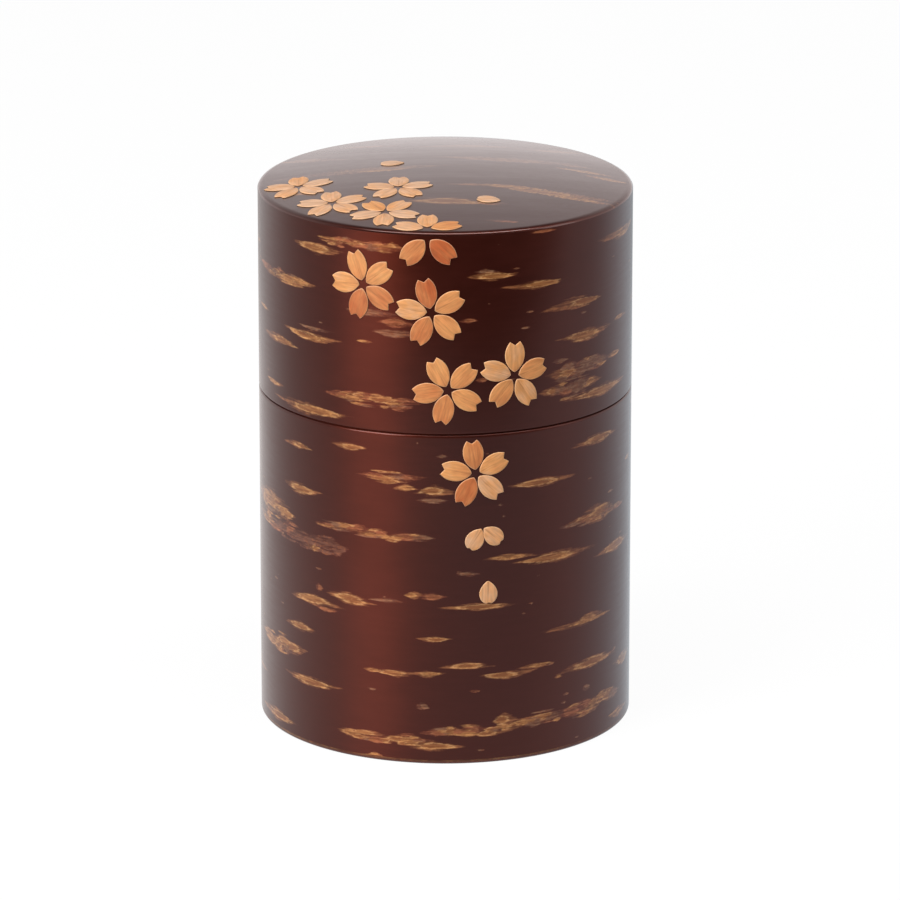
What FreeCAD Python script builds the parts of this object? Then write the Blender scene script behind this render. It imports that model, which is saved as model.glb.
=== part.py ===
import FreeCAD, Part
import math
import os

import Sketcher

# Round tea caddy of rolled wood veneer, covered in polished cherry bark.
# The body carries an inner sleeve, the deep lid slides down over that sleeve until it rests on the
# body's rim, and a flat inner lid with a turned knob plugs the sleeve.
# Blossoms of pale wood are let into pockets that go right through the bark, and stand a little proud.
# Frame: +Z up, the axis of the caddy is Z, the base stands on z = 0 and the front faces -Y.

# Driving sizes in millimetres
SIZES = {
    # overall form
    "outer_radius": 40.0,
    "seam_height": 73.0,
    "lid_height": 44.0,
    "dome_rise": 3.0,
    "edge_round": 0.5,
    "seam_round": 0.35,
    # bark skins and veneer walls
    "bark_thickness": 0.6,
    "body_core_wall": 1.4,
    "sleeve_wall": 1.5,
    "sleeve_share": 0.5,
    "lid_clearance": 0.2,
    "lead_in": 0.4,
    "base_board_thickness": 3.4,
    "floor_lining_thickness": 0.6,
    "lining_clearance": 0.1,
    "lid_board_thickness": 3.0,
    # inner lid
    "inner_board_thickness": 2.6,
    "inner_board_inset": 0.8,
    "inner_board_round": 0.6,
    "inner_ring_depth": 8.0,
    "inner_ring_wall": 1.6,
    "plug_clearance": 0.25,
    "inner_bark_thickness": 0.5,
    "inner_bark_inset": 1.2,
    "knob_radius": 8.0,
    "knob_foot_radius": 5.0,
    "knob_neck_height": 5.0,
    "knob_neck_hollow": 6.0,
    "knob_edge_height": 1.6,
    "knob_crown": 1.6,
    "tenon_radius": 3.0,
    "tenon_clearance": 0.05,
    # how the inlays sit
    "petal_proud": 0.3,
    "inlay_gap": 0.04,
    # reach of a blossom from its middle, as shares of the caddy's radius, the lid's and the body's height
    "top_blossom_share": 0.184,
    "side_blossom_share": 0.17,
    "body_blossom_share": 0.1014,
    # a blossom's petal, measured from the middle of its blossom, as shares of the reach
    "petal_root_share": 0.118,
    "petal_width_share": 0.59,
    "petal_widest_share": 0.66,
    "petal_root_width_share": 0.1,
    "petal_root_rise_share": 0.026,
    "petal_tip_spread_share": 0.3,
    "petal_notch_share": 0.1,
    # a loose petal, drop shaped, measured from the point that it drifts from, as shares of the reach
    "loose_root_share": 0.058,
    "loose_end_share": 0.754,
    "loose_width_share": 0.53,
    "loose_root_round_share": 0.09,
    "loose_tip_spread_share": 0.154,
    "loose_notch_share": 0.045,
    # the blossom that folds over the lid's edge, as shares of the reach
    "edge_blossom_inset_share": 0.263,
    "edge_blossom_drop_share": 0.122,
}

# Sizes that follow from the driving ones
CORE_RADIUS = "(sizes.outer_radius - sizes.bark_thickness)"
SLEEVE_RADIUS = f"({CORE_RADIUS} - sizes.body_core_wall)"
CHAMBER_RADIUS = f"({SLEEVE_RADIUS} - sizes.sleeve_wall)"
LID_BORE = f"({SLEEVE_RADIUS} + sizes.lid_clearance)"
BOARD_TOP = "(sizes.bark_thickness + sizes.base_board_thickness)"
RIM_HEIGHT = "(sizes.seam_height + sizes.lid_height)"
SLEEVE_TOP = "(sizes.seam_height + sizes.sleeve_share * sizes.lid_height)"
INNER_BOARD_RADIUS = f"({SLEEVE_RADIUS} - sizes.inner_board_inset)"
INNER_BOARD_TOP = f"({SLEEVE_TOP} + sizes.inner_board_thickness)"
INNER_BARK_TOP = f"({INNER_BOARD_TOP} + sizes.inner_bark_thickness)"
PLUG_RADIUS = f"({CHAMBER_RADIUS} - sizes.plug_clearance)"
TENON_BORE = "(sizes.tenon_radius + sizes.tenon_clearance)"
TOP_REACH = "(sizes.top_blossom_share * sizes.outer_radius)"
SIDE_REACH = "(sizes.side_blossom_share * sizes.lid_height)"
BODY_REACH = "(sizes.body_blossom_share * sizes.seam_height)"

# The lid's top is part of a sphere, and the bark and the board under it follow concentric spheres
DOME_SPHERE = "((sizes.outer_radius ^ 2 + sizes.dome_rise ^ 2) / (2 * sizes.dome_rise))"
DOME_CENTRE = f"({RIM_HEIGHT} + sizes.dome_rise - {DOME_SPHERE})"
BARK_UNDERSIDE_SPHERE = f"({DOME_SPHERE} - sizes.bark_thickness)"
CEILING_SPHERE = f"({BARK_UNDERSIDE_SPHERE} - sizes.lid_board_thickness)"
PETAL_TOP_SPHERE = f"({DOME_SPHERE} + sizes.petal_proud)"

# Inlays of the lid's top: degrees round from the front, to the right positive, the ring that the middle
# lies on as a share of the radius, and the way each petal points
TOP_BLOSSOM_ANGLES = {
    "lid_top_blossom_1": (-76.7, 0.798, (20, 92, 164, 236, 308)),
    "lid_top_blossom_2": (-37.2, 0.411, (17, 89, 161, 233, 305)),
    "lid_top_blossom_3": (-48.9, 0.79, (21, 93, 165, 237, 309)),
    "lid_top_blossom_4": (-24.1, 0.77, (50, 122, 194, 266, 338)),
}
TOP_PETAL_ANGLES = {
    "lid_top_petal_1": (-126.6, 0.26, (181,)),
    "lid_top_petal_2": (29.3, 0.615, (170,)),
}

# One blossom folds over the lid's edge, with three petals on the top and two on the side
EDGE_TOP_ANGLE = -5.7
EDGE_SIDE_ANGLE = -5.4
EDGE_TOP_PETAL_ANGLES = (19, 89, 160)
EDGE_SIDE_PETAL_ANGLES = (228, 317)

# Blossoms of the lid's side: shares of the lid's height, first round from the front, to the right
# positive, and then up from the seam, and the way each petal points
SIDE_BLOSSOM_SHARES = {
    "lid_side_blossom_1": (-0.4012, 0.725, (37, 108, 181, 256, 327)),
    "lid_side_blossom_2": (-0.0667, 0.609, (30, 103, 173, 244, 317)),
    "lid_side_blossom_3": (0.0128, 0.226, (43, 117, 188, 258, 331)),
    "lid_side_blossom_4": (0.3363, 0.279, (14, 89, 161, 231, 304)),
}

# Inlays of the body: the kind of petal, shares of the body's height, first round from the front and
# then down from the seam, and the way each petal points
BODY_INLAY_SHARES = {
    "body_blossom": ("petal", 0.0879, 0.1157, (26, 97, 171, 244, 315)),
    "body_petal_pair": ("loose", 0.1074, 0.2777, (240, 319)),
    "body_petal": ("loose", 0.1239, 0.4361, (272,)),
}

doc = FreeCAD.newDocument("tea_caddy")
sheet = doc.addObject("Spreadsheet::Sheet", "sizes")
for row, (alias, number) in enumerate(SIZES.items(), start=1):
    sheet.set(f"A{row}", alias)
    sheet.set(f"B{row}", str(number))
    sheet.setAlias(f"B{row}", alias)
doc.recompute()

subparts = {}


def value(expression):
    """Number that an expression on the sheet gives now."""
    return float(sheet.evalExpression(expression))


def origin_plane(body, role):
    """One of the three origin planes of a body."""
    return next(feature for feature in body.Origin.OriginFeatures if feature.Role == role)


def sketch_on(body, name, role):
    """Empty sketch on an origin plane of its body."""
    sketch = body.newObject("Sketcher::SketchObject", name)
    sketch.AttachmentSupport = [(origin_plane(body, role), "")]
    sketch.MapMode = "FlatFace"
    return sketch


def bind(sketch, kind, places, expression):
    """Dimension in a sketch that follows an expression on the sheet."""
    index = sketch.addConstraint(Sketcher.Constraint(kind, *places, value(expression)))
    sketch.setExpression(f"Constraints[{index}]", expression)


def pin_point(sketch, edge, end, across, up):
    """Hold one end of an edge at two expressions, measured from the sketch's origin."""
    for kind, axis, expression in (("DistanceX", -2, across), ("DistanceY", -1, up)):
        if expression == "0":
            sketch.addConstraint(Sketcher.Constraint("PointOnObject", edge, end, axis))
        else:
            bind(sketch, kind, (-1, 1, edge, end), expression)


def bent_edge(here, there, radius, outward):
    """Arc between two points, bulging to the right of the way from here to there when outward."""
    chord = there - here
    left = FreeCAD.Vector(-chord.y, chord.x, 0).normalize()
    depth = math.sqrt(radius ** 2 - (chord.Length / 2) ** 2)
    side = 1 if outward else -1
    centre = (here + there) / 2 + left * depth * side
    first, last = (here, there) if outward else (there, here)
    start = math.atan2(first.y - centre.y, first.x - centre.x)
    stop = math.atan2(last.y - centre.y, last.x - centre.x)
    if stop < start:
        stop += 2 * math.pi
    circle = Part.Circle(centre, FreeCAD.Vector(0, 0, 1), radius)
    return Part.ArcOfCircle(circle, start, stop)


def turned(name, corners):
    """Body turned about Z.

    The outline runs anticlockwise through corners of radius and height. A third entry bends the edge
    that leaves the corner: the word round or hollow, and the radius of the bend.
    """
    body = doc.addObject("PartDesign::Body", name)
    sketch = sketch_on(body, f"{name}_outline", "XZ_Plane")
    points = [FreeCAD.Vector(value(corner[0]), value(corner[1]), 0) for corner in corners]
    ends = []
    for corner, here, there in zip(corners, points, points[1:] + points[:1]):
        if len(corner) == 2:
            edge = sketch.addGeometry(Part.LineSegment(here, there))
            ends.append((edge, 1, 2))
            continue
        bend, radius = corner[2]
        outward = bend == "round"
        edge = sketch.addGeometry(bent_edge(here, there, value(radius), outward))
        ends.append((edge, 1, 2) if outward else (edge, 2, 1))
    for (edge, _, stop), (following, start, _) in zip(ends, ends[1:] + ends[:1]):
        sketch.addConstraint(Sketcher.Constraint("Coincident", edge, stop, following, start))
    for corner, (edge, start, _) in zip(corners, ends):
        pin_point(sketch, edge, start, corner[0], corner[1])
        if len(corner) == 3:
            bind(sketch, "Radius", (edge,), corner[2][1])
    turn = body.newObject("PartDesign::Revolution", f"{name}_turn")
    turn.Profile = sketch
    turn.ReferenceAxis = (sketch, ["V_Axis"])
    turn.Angle = 360
    return body


def node(name, piece):
    """Keep a piece as a sub-part under its own name."""
    piece.Label = name
    subparts[name] = piece
    return piece


def dome_height(sphere, radius):
    """Height of one of the dome's spheres at a distance from the axis."""
    return f"({DOME_CENTRE} + sqrt({sphere} ^ 2 - {radius} ^ 2))"


def dome_crown(sphere):
    """Height of one of the dome's spheres on the axis."""
    return f"({DOME_CENTRE} + {sphere})"


# Body of the caddy

def base_bark():
    """Disc of bark under the caddy, with its lower edge rounded."""
    flat = "(sizes.outer_radius - sizes.edge_round)"
    return turned("base_bark", [
        ("0", "0"),
        (flat, "0", ("round", "sizes.edge_round")),
        ("sizes.outer_radius", "sizes.edge_round"),
        ("sizes.outer_radius", "sizes.bark_thickness"),
        ("0", "sizes.bark_thickness"),
    ])


def base_board():
    """Wooden disc that closes the bottom of the body."""
    return turned("base_board", [
        ("0", "sizes.bark_thickness"),
        (SLEEVE_RADIUS, "sizes.bark_thickness"),
        (SLEEVE_RADIUS, BOARD_TOP),
        ("0", BOARD_TOP),
    ])


def body_core():
    """Tube of rolled veneer that gives the body its shape."""
    return turned("body_core", [
        (SLEEVE_RADIUS, "sizes.bark_thickness"),
        (CORE_RADIUS, "sizes.bark_thickness"),
        (CORE_RADIUS, "sizes.seam_height"),
        (SLEEVE_RADIUS, "sizes.seam_height"),
    ])


def body_bark_blank():
    """Wrap of bark round the body, before the pockets are cut."""
    flat = "(sizes.outer_radius - sizes.seam_round)"
    return turned("body_bark_blank", [
        (CORE_RADIUS, "sizes.bark_thickness"),
        ("sizes.outer_radius", "sizes.bark_thickness"),
        ("sizes.outer_radius", "(sizes.seam_height - sizes.seam_round)", ("round", "sizes.seam_round")),
        (flat, "sizes.seam_height"),
        (CORE_RADIUS, "sizes.seam_height"),
    ])


def inner_sleeve():
    """Veneer tube that lines the body and stands up above its rim to guide the lid.

    Its upper outer edge is bevelled, so that the lid finds its way on.
    """
    return turned("inner_sleeve", [
        (CHAMBER_RADIUS, BOARD_TOP),
        (SLEEVE_RADIUS, BOARD_TOP),
        (SLEEVE_RADIUS, f"({SLEEVE_TOP} - sizes.lead_in)"),
        (f"({SLEEVE_RADIUS} - sizes.lead_in)", SLEEVE_TOP),
        (CHAMBER_RADIUS, SLEEVE_TOP),
    ])


def floor_lining():
    """Thin veneer disc on the floor of the tea chamber."""
    radius = f"({CHAMBER_RADIUS} - sizes.lining_clearance)"
    top = f"({BOARD_TOP} + sizes.floor_lining_thickness)"
    return turned("floor_lining", [
        ("0", BOARD_TOP),
        (radius, BOARD_TOP),
        (radius, top),
        ("0", top),
    ])


# Lid

def lid_core():
    """Tube of rolled veneer that slides over the sleeve, with its top end cut to the dome.

    Its lower inner edge is bevelled, so that it finds its way over the sleeve.
    """
    outer_top = dome_height(BARK_UNDERSIDE_SPHERE, CORE_RADIUS)
    return turned("lid_core", [
        (f"({LID_BORE} + sizes.lead_in)", "sizes.seam_height"),
        (CORE_RADIUS, "sizes.seam_height"),
        (CORE_RADIUS, outer_top, ("round", BARK_UNDERSIDE_SPHERE)),
        (LID_BORE, dome_height(BARK_UNDERSIDE_SPHERE, LID_BORE)),
        (LID_BORE, "(sizes.seam_height + sizes.lead_in)"),
    ])


def lid_board():
    """Domed board, even in thickness, that closes the top of the lid."""
    return turned("lid_board", [
        ("0", dome_crown(CEILING_SPHERE), ("hollow", CEILING_SPHERE)),
        (LID_BORE, dome_height(CEILING_SPHERE, LID_BORE)),
        (LID_BORE, dome_height(BARK_UNDERSIDE_SPHERE, LID_BORE), ("round", BARK_UNDERSIDE_SPHERE)),
        ("0", dome_crown(BARK_UNDERSIDE_SPHERE)),
    ])


def lid_bark_blank():
    """Wrap of bark round the lid, before the pockets are cut."""
    flat = "(sizes.outer_radius - sizes.seam_round)"
    return turned("lid_bark_blank", [
        (CORE_RADIUS, "sizes.seam_height"),
        (flat, "sizes.seam_height", ("round", "sizes.seam_round")),
        ("sizes.outer_radius", "(sizes.seam_height + sizes.seam_round)"),
        ("sizes.outer_radius", dome_height(BARK_UNDERSIDE_SPHERE, "sizes.outer_radius"),
         ("round", BARK_UNDERSIDE_SPHERE)),
        (CORE_RADIUS, dome_height(BARK_UNDERSIDE_SPHERE, CORE_RADIUS)),
    ])


def lid_top_bark_blank():
    """Domed disc of bark over the lid, with its edge rounded, before the pockets are cut."""
    flat = "(sizes.outer_radius - sizes.edge_round)"
    shoulder = f"({dome_height(DOME_SPHERE, flat)} - sizes.edge_round)"
    return turned("lid_top_bark_blank", [
        ("0", dome_crown(BARK_UNDERSIDE_SPHERE), ("hollow", BARK_UNDERSIDE_SPHERE)),
        ("sizes.outer_radius", dome_height(BARK_UNDERSIDE_SPHERE, "sizes.outer_radius")),
        ("sizes.outer_radius", shoulder, ("round", "sizes.edge_round")),
        (flat, dome_height(DOME_SPHERE, flat), ("round", DOME_SPHERE)),
        ("0", dome_crown(DOME_SPHERE)),
    ])


# Inner lid

def inner_lid_ring():
    """Veneer ring under the inner lid that plugs the mouth of the sleeve, bevelled where it enters."""
    inside = f"({PLUG_RADIUS} - sizes.inner_ring_wall)"
    bottom = f"({SLEEVE_TOP} - sizes.inner_ring_depth)"
    return turned("inner_lid_ring", [
        (inside, bottom),
        (f"({PLUG_RADIUS} - sizes.lead_in)", bottom),
        (PLUG_RADIUS, f"({bottom} + sizes.lead_in)"),
        (PLUG_RADIUS, SLEEVE_TOP),
        (inside, SLEEVE_TOP),
    ])


def inner_lid_board():
    """Board that rests on the sleeve's rim, rounded on its upper edge and bored for the knob."""
    flat = f"({INNER_BOARD_RADIUS} - sizes.inner_board_round)"
    shoulder = f"({INNER_BOARD_TOP} - sizes.inner_board_round)"
    return turned("inner_lid_board", [
        (TENON_BORE, SLEEVE_TOP),
        (INNER_BOARD_RADIUS, SLEEVE_TOP),
        (INNER_BOARD_RADIUS, shoulder, ("round", "sizes.inner_board_round")),
        (flat, INNER_BOARD_TOP),
        (TENON_BORE, INNER_BOARD_TOP),
    ])


def inner_lid_bark():
    """Disc of bark on the inner lid, bored for the knob."""
    radius = f"({INNER_BOARD_RADIUS} - sizes.inner_bark_inset)"
    return turned("inner_lid_bark", [
        (TENON_BORE, INNER_BOARD_TOP),
        (radius, INNER_BOARD_TOP),
        (radius, INNER_BARK_TOP),
        (TENON_BORE, INNER_BARK_TOP),
    ])


def inner_lid_knob():
    """Turned knob with a hollow neck and a low crown, held by a tenon through the board."""
    neck_top = f"({INNER_BARK_TOP} + sizes.knob_neck_height)"
    edge_top = f"({neck_top} + sizes.knob_edge_height)"
    crown_top = f"({edge_top} + sizes.knob_crown)"
    crown_sphere = "((sizes.knob_radius ^ 2 + sizes.knob_crown ^ 2) / (2 * sizes.knob_crown))"
    return turned("inner_lid_knob", [
        ("0", SLEEVE_TOP),
        ("sizes.tenon_radius", SLEEVE_TOP),
        ("sizes.tenon_radius", INNER_BARK_TOP),
        ("sizes.knob_foot_radius", INNER_BARK_TOP, ("hollow", "sizes.knob_neck_hollow")),
        ("sizes.knob_radius", neck_top),
        ("sizes.knob_radius", edge_top, ("round", crown_sphere)),
        ("0", crown_top),
    ])


# Petals

def padded_stamp(body, sketch):
    """Carry a petal's outline through the whole wall, from the axis outwards."""
    pad = body.newObject("PartDesign::Pad", f"{body.Name}_pad")
    pad.Profile = sketch
    pad.setExpression("Length", "sizes.outer_radius + sizes.dome_rise + 2 * sizes.petal_proud")
    return body


def at(across, up, mirrored=False):
    """Point in a sketch that two expressions give now, or its mirror image."""
    side = -1 if mirrored else 1
    return FreeCAD.Vector(side * value(across), value(up), 0)


def chain(sketch, outline, kind):
    """Join each edge's end to the start of the next one."""
    for edge, following in zip(outline, outline[1:] + outline[:1]):
        sketch.addConstraint(Sketcher.Constraint(kind, edge, 2, following, 1))


def petal_stamp(name, reach, gap):
    """Long prism of one blossom petal's outline, pointing along +Y and reaching outwards along +Z.

    Two arcs swell from a narrow rounded root to the tips of two lobes, with a notch between them.
    The outline grows by the gap on every side, for the pocket that a petal is let into.
    """
    body = doc.addObject("PartDesign::Body", name)
    sketch = sketch_on(body, f"{name}_outline", "XY_Plane")
    root = f"(sizes.petal_root_share * {reach} - {gap})"
    corner_up = f"({root} + sizes.petal_root_rise_share * {reach})"
    half_root = f"(sizes.petal_root_width_share * {reach} / 2 + {gap})"
    half_width = f"(sizes.petal_width_share * {reach} / 2 + {gap})"
    widest = f"(sizes.petal_widest_share * {reach})"
    half_spread = f"(sizes.petal_tip_spread_share * {reach} / 2 + {gap})"
    tip = f"({reach} + {gap})"
    notch = f"({tip} - sizes.petal_notch_share * {reach})"

    right_root, left_root = at(half_root, corner_up), at(half_root, corner_up, mirrored=True)
    right_tip, left_tip = at(half_spread, tip), at(half_spread, tip, mirrored=True)
    base = sketch.addGeometry(Part.Arc(left_root, at("0", root), right_root))
    right = sketch.addGeometry(Part.Arc(right_root, at(half_width, widest), right_tip))
    right_lobe = sketch.addGeometry(Part.LineSegment(right_tip, at("0", notch)))
    left_lobe = sketch.addGeometry(Part.LineSegment(at("0", notch), left_tip))
    left = sketch.addGeometry(Part.Arc(left_tip, at(half_width, widest, mirrored=True), left_root))
    root_mark = sketch.addGeometry(Part.Point(at("0", root)), True)
    width_mark = sketch.addGeometry(Part.Point(at(half_width, widest)), True)

    chain(sketch, (base, right, right_lobe, left_lobe, left), "Coincident")
    sketch.addConstraint(Sketcher.Constraint("Symmetric", base, 1, base, 2, -2))
    sketch.addConstraint(Sketcher.Constraint("Symmetric", left_lobe, 2, right_lobe, 1, -2))
    sketch.addConstraint(Sketcher.Constraint("Equal", left, right))
    sketch.addConstraint(Sketcher.Constraint("PointOnObject", root_mark, 1, base))
    sketch.addConstraint(Sketcher.Constraint("PointOnObject", width_mark, 1, right))
    pin_point(sketch, right, 1, half_root, corner_up)
    pin_point(sketch, right, 2, half_spread, tip)
    pin_point(sketch, right_lobe, 2, "0", notch)
    pin_point(sketch, root_mark, 1, "0", root)
    pin_point(sketch, width_mark, 1, half_width, widest)
    return padded_stamp(body, sketch)


def drop_stamp(name, reach, gap):
    """Long prism of one loose petal's outline, pointing along +Y and reaching outwards along +Z.

    Straight sides touch a small circle at the root and a large one at the end, which has a shallow
    notch. The outline grows by the gap on every side, for the pocket that a petal is let into.
    """
    body = doc.addObject("PartDesign::Body", name)
    sketch = sketch_on(body, f"{name}_outline", "XY_Plane")
    small = f"(sizes.loose_root_round_share * {reach} + {gap})"
    large = f"(sizes.loose_width_share * {reach} / 2 + {gap})"
    small_up = f"((sizes.loose_root_share + sizes.loose_root_round_share) * {reach})"
    large_up = f"((sizes.loose_end_share - sizes.loose_width_share / 2) * {reach})"
    half_spread = f"(sizes.loose_tip_spread_share * {reach} / 2 + {gap})"
    lobe_up = f"({large_up} + sqrt({large} ^ 2 - {half_spread} ^ 2))"
    notch = f"({large_up} + {large} - sizes.loose_notch_share * {reach})"
    lean = f"asin(({large} - {small}) / ({large_up} - {small_up}))"
    side_foot = (f"({small} * cos({lean}))", f"({small_up} - {small} * sin({lean}))")
    side_top = (f"({large} * cos({lean}))", f"({large_up} - {large} * sin({lean}))")

    left_foot = at(*side_foot, mirrored=True)
    left_top = at(*side_top, mirrored=True)
    left_tip = at(half_spread, lobe_up, mirrored=True)
    upper_right = bent_edge(at(*side_top), at(half_spread, lobe_up), value(large), True)
    upper_left = bent_edge(left_tip, left_top, value(large), True)
    base = sketch.addGeometry(Part.Arc(left_foot, at("0", f"({small_up} - {small})"), at(*side_foot)))
    right = sketch.addGeometry(Part.LineSegment(at(*side_foot), at(*side_top)))
    right_end = sketch.addGeometry(upper_right)
    right_lobe = sketch.addGeometry(Part.LineSegment(at(half_spread, lobe_up), at("0", notch)))
    left_lobe = sketch.addGeometry(Part.LineSegment(at("0", notch), left_tip))
    left_end = sketch.addGeometry(upper_left)
    left = sketch.addGeometry(Part.LineSegment(left_top, left_foot))

    chain(sketch, (base, right, right_end, right_lobe, left_lobe, left_end, left), "Coincident")
    sketch.addConstraint(Sketcher.Constraint("Symmetric", base, 1, base, 2, -2))
    sketch.addConstraint(Sketcher.Constraint("Symmetric", left, 1, right, 2, -2))
    sketch.addConstraint(Sketcher.Constraint("Symmetric", left_lobe, 2, right_lobe, 1, -2))
    sketch.addConstraint(Sketcher.Constraint("Equal", left_end, right_end))
    pin_point(sketch, right, 1, *side_foot)
    pin_point(sketch, right, 2, *side_top)
    pin_point(sketch, right_lobe, 1, half_spread, lobe_up)
    pin_point(sketch, right_lobe, 2, "0", notch)
    bind(sketch, "Radius", (base,), small)
    bind(sketch, "Radius", (right_end,), large)
    return padded_stamp(body, sketch)


def spin_placement(across, forward, up, axis, angle):
    """Expression for a placement: a shift, and a turn about one axis."""
    return f"placement(vector({across}; {forward}; {up}); rotation(vector({axis}); {angle}))"


def swing(share, height):
    """Expression for the angle round the axis that a share of a height makes on the wall."""
    return f"({share} * {height} / sizes.outer_radius * 180 / pi)"


def top_spot(angle, ring):
    """Expression for a place on the lid's top, unturned, that looks up."""
    start = f"({RIM_HEIGHT} - sizes.outer_radius)"
    about_axis = spin_placement("0", "0", start, "0; 0; 1", angle)
    out_to_ring = spin_placement("0", f"-{ring}", "0", "0; 0; 1", -angle)
    return f"{about_axis} * {out_to_ring}"


def wall_spot(angle, height):
    """Expression for a place on the wall, with up along +Z, that looks outwards."""
    about_axis = spin_placement("0", "0", height, "0; 0; 1", angle)
    upright = spin_placement("0", "0", "0", "1; 0; 0", "90")
    return f"{about_axis} * {upright}"


def stamped(name, stamp, spot, directions):
    """Copies of a petal stamp round one spot, one for each direction."""
    copies = []
    for number, direction in enumerate(directions, start=1):
        copy = doc.addObject("App::Link", f"{name}_{number}")
        copy.LinkedObject = stamp
        pointed = spin_placement("0", "0", "0", "0; 0; 1", direction - 90)
        copy.setExpression("Placement", f"{spot} * {pointed}")
        copies.append(copy)
    group = doc.addObject("Part::Compound", name)
    group.Links = copies
    return group


def inlay(name, layer, stamps, spot, directions):
    """Petals of one inlay, cut from a layer of wood. Gives the pockets that they are let into."""
    petal, pocket = stamps
    petals = doc.addObject("Part::Common", name)
    petals.Base = layer
    petals.Tool = stamped(f"{name}_stamps", petal, spot, directions)
    node(name, petals)
    return stamped(f"{name}_pockets", pocket, spot, directions)


def pocketed(name, blank, pockets):
    """Bark skin with the pockets of its inlays cut through it."""
    cutter = doc.addObject("Part::Compound", f"{name}_cutter")
    cutter.Links = pockets
    skin = doc.addObject("Part::Cut", name)
    skin.Base = blank
    skin.Tool = cutter
    return node(name, skin)


def stamp_pair(make_stamp, name, reach):
    """Stamp for a petal and the slightly larger one for its pocket."""
    return make_stamp(name, reach, "0"), make_stamp(f"{name}_pocket", reach, "sizes.inlay_gap")


# Layers that the petals are cut from: a round wall and a dome, both resting on the cores
wall_layer = turned("wall_petal_layer", [
    (CORE_RADIUS, "sizes.bark_thickness"),
    ("(sizes.outer_radius + sizes.petal_proud)", "sizes.bark_thickness"),
    ("(sizes.outer_radius + sizes.petal_proud)", RIM_HEIGHT),
    (CORE_RADIUS, RIM_HEIGHT),
])
dome_layer = turned("dome_petal_layer", [
    ("0", dome_crown(BARK_UNDERSIDE_SPHERE), ("hollow", BARK_UNDERSIDE_SPHERE)),
    (CORE_RADIUS, dome_height(BARK_UNDERSIDE_SPHERE, CORE_RADIUS)),
    (CORE_RADIUS, dome_height(PETAL_TOP_SPHERE, CORE_RADIUS), ("round", PETAL_TOP_SPHERE)),
    ("0", dome_crown(PETAL_TOP_SPHERE)),
])

for build in (base_bark, base_board, body_core, inner_sleeve, floor_lining, lid_core, lid_board,
              inner_lid_ring, inner_lid_board, inner_lid_bark, inner_lid_knob):
    node(build.__name__, build())

# Inlays of the lid's top
top_blossom_stamps = stamp_pair(petal_stamp, "top_petal_stamp", TOP_REACH)
top_loose_stamps = stamp_pair(drop_stamp, "top_loose_stamp", TOP_REACH)
top_pockets = []
for stamps, inlays in ((top_blossom_stamps, TOP_BLOSSOM_ANGLES), (top_loose_stamps, TOP_PETAL_ANGLES)):
    for name, (angle, share, directions) in inlays.items():
        spot = top_spot(angle, f"({share} * sizes.outer_radius)")
        top_pockets.append(inlay(name, dome_layer, stamps, spot, directions))
edge_ring = f"(sizes.outer_radius - sizes.edge_blossom_inset_share * {TOP_REACH})"
edge_spot = top_spot(EDGE_TOP_ANGLE, edge_ring)
top_pockets.append(
    inlay("lid_edge_blossom_top", dome_layer, top_blossom_stamps, edge_spot, EDGE_TOP_PETAL_ANGLES))
pocketed("lid_top_bark", lid_top_bark_blank(), top_pockets)

# Inlays of the lid's side
side_stamps = stamp_pair(petal_stamp, "side_petal_stamp", SIDE_REACH)
side_pockets = []
for name, (across, up, directions) in SIDE_BLOSSOM_SHARES.items():
    spot = wall_spot(swing(across, "sizes.lid_height"), f"(sizes.seam_height + {up} * sizes.lid_height)")
    side_pockets.append(inlay(name, wall_layer, side_stamps, spot, directions))
edge_height = f"({RIM_HEIGHT} - sizes.edge_blossom_drop_share * {SIDE_REACH})"
edge_spot = wall_spot(EDGE_SIDE_ANGLE, edge_height)
side_pockets.append(
    inlay("lid_edge_blossom_side", wall_layer, side_stamps, edge_spot, EDGE_SIDE_PETAL_ANGLES))
pocketed("lid_bark", lid_bark_blank(), side_pockets)

# Inlays of the body
body_stamps = {
    "petal": stamp_pair(petal_stamp, "body_petal_stamp", BODY_REACH),
    "loose": stamp_pair(drop_stamp, "body_loose_stamp", BODY_REACH),
}
body_pockets = []
for name, (kind, across, down, directions) in BODY_INLAY_SHARES.items():
    spot = wall_spot(swing(across, "sizes.seam_height"), f"((1 - {down}) * sizes.seam_height)")
    body_pockets.append(inlay(name, wall_layer, body_stamps[kind], spot, directions))
pocketed("body_bark", body_bark_blank(), body_pockets)

doc.recompute()

# Nothing is written unless every step worked
for item in doc.Objects:
    if "Invalid" in item.State or "Error" in item.State:
        raise RuntimeError(f"{item.Label} failed: {item.State}")
for name, piece in subparts.items():
    if piece.Shape.isNull() or not piece.Shape.isValid():
        raise RuntimeError(f"{name} has no valid shape")

os.makedirs("parts", exist_ok=True)
for name, piece in subparts.items():
    piece.Shape.exportStep(f"parts/{name}.step")
    print(f"{name}: {len(piece.Shape.Solids)} solids, {piece.Shape.Volume:.1f} mm3")
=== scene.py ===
# %% [markdown]
# # A tea caddy covered in cherry bark
# The caddy is a round box of rolled wood veneer. Body and lid are wrapped in polished cherry bark, and
# blossoms of pale wood are let into the bark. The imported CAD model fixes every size, so it is loaded
# first and never changed. What follows dresses it: bark skins, petals, wood, light and a camera.

# %% Load the frame
import math
from functools import partial

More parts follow.
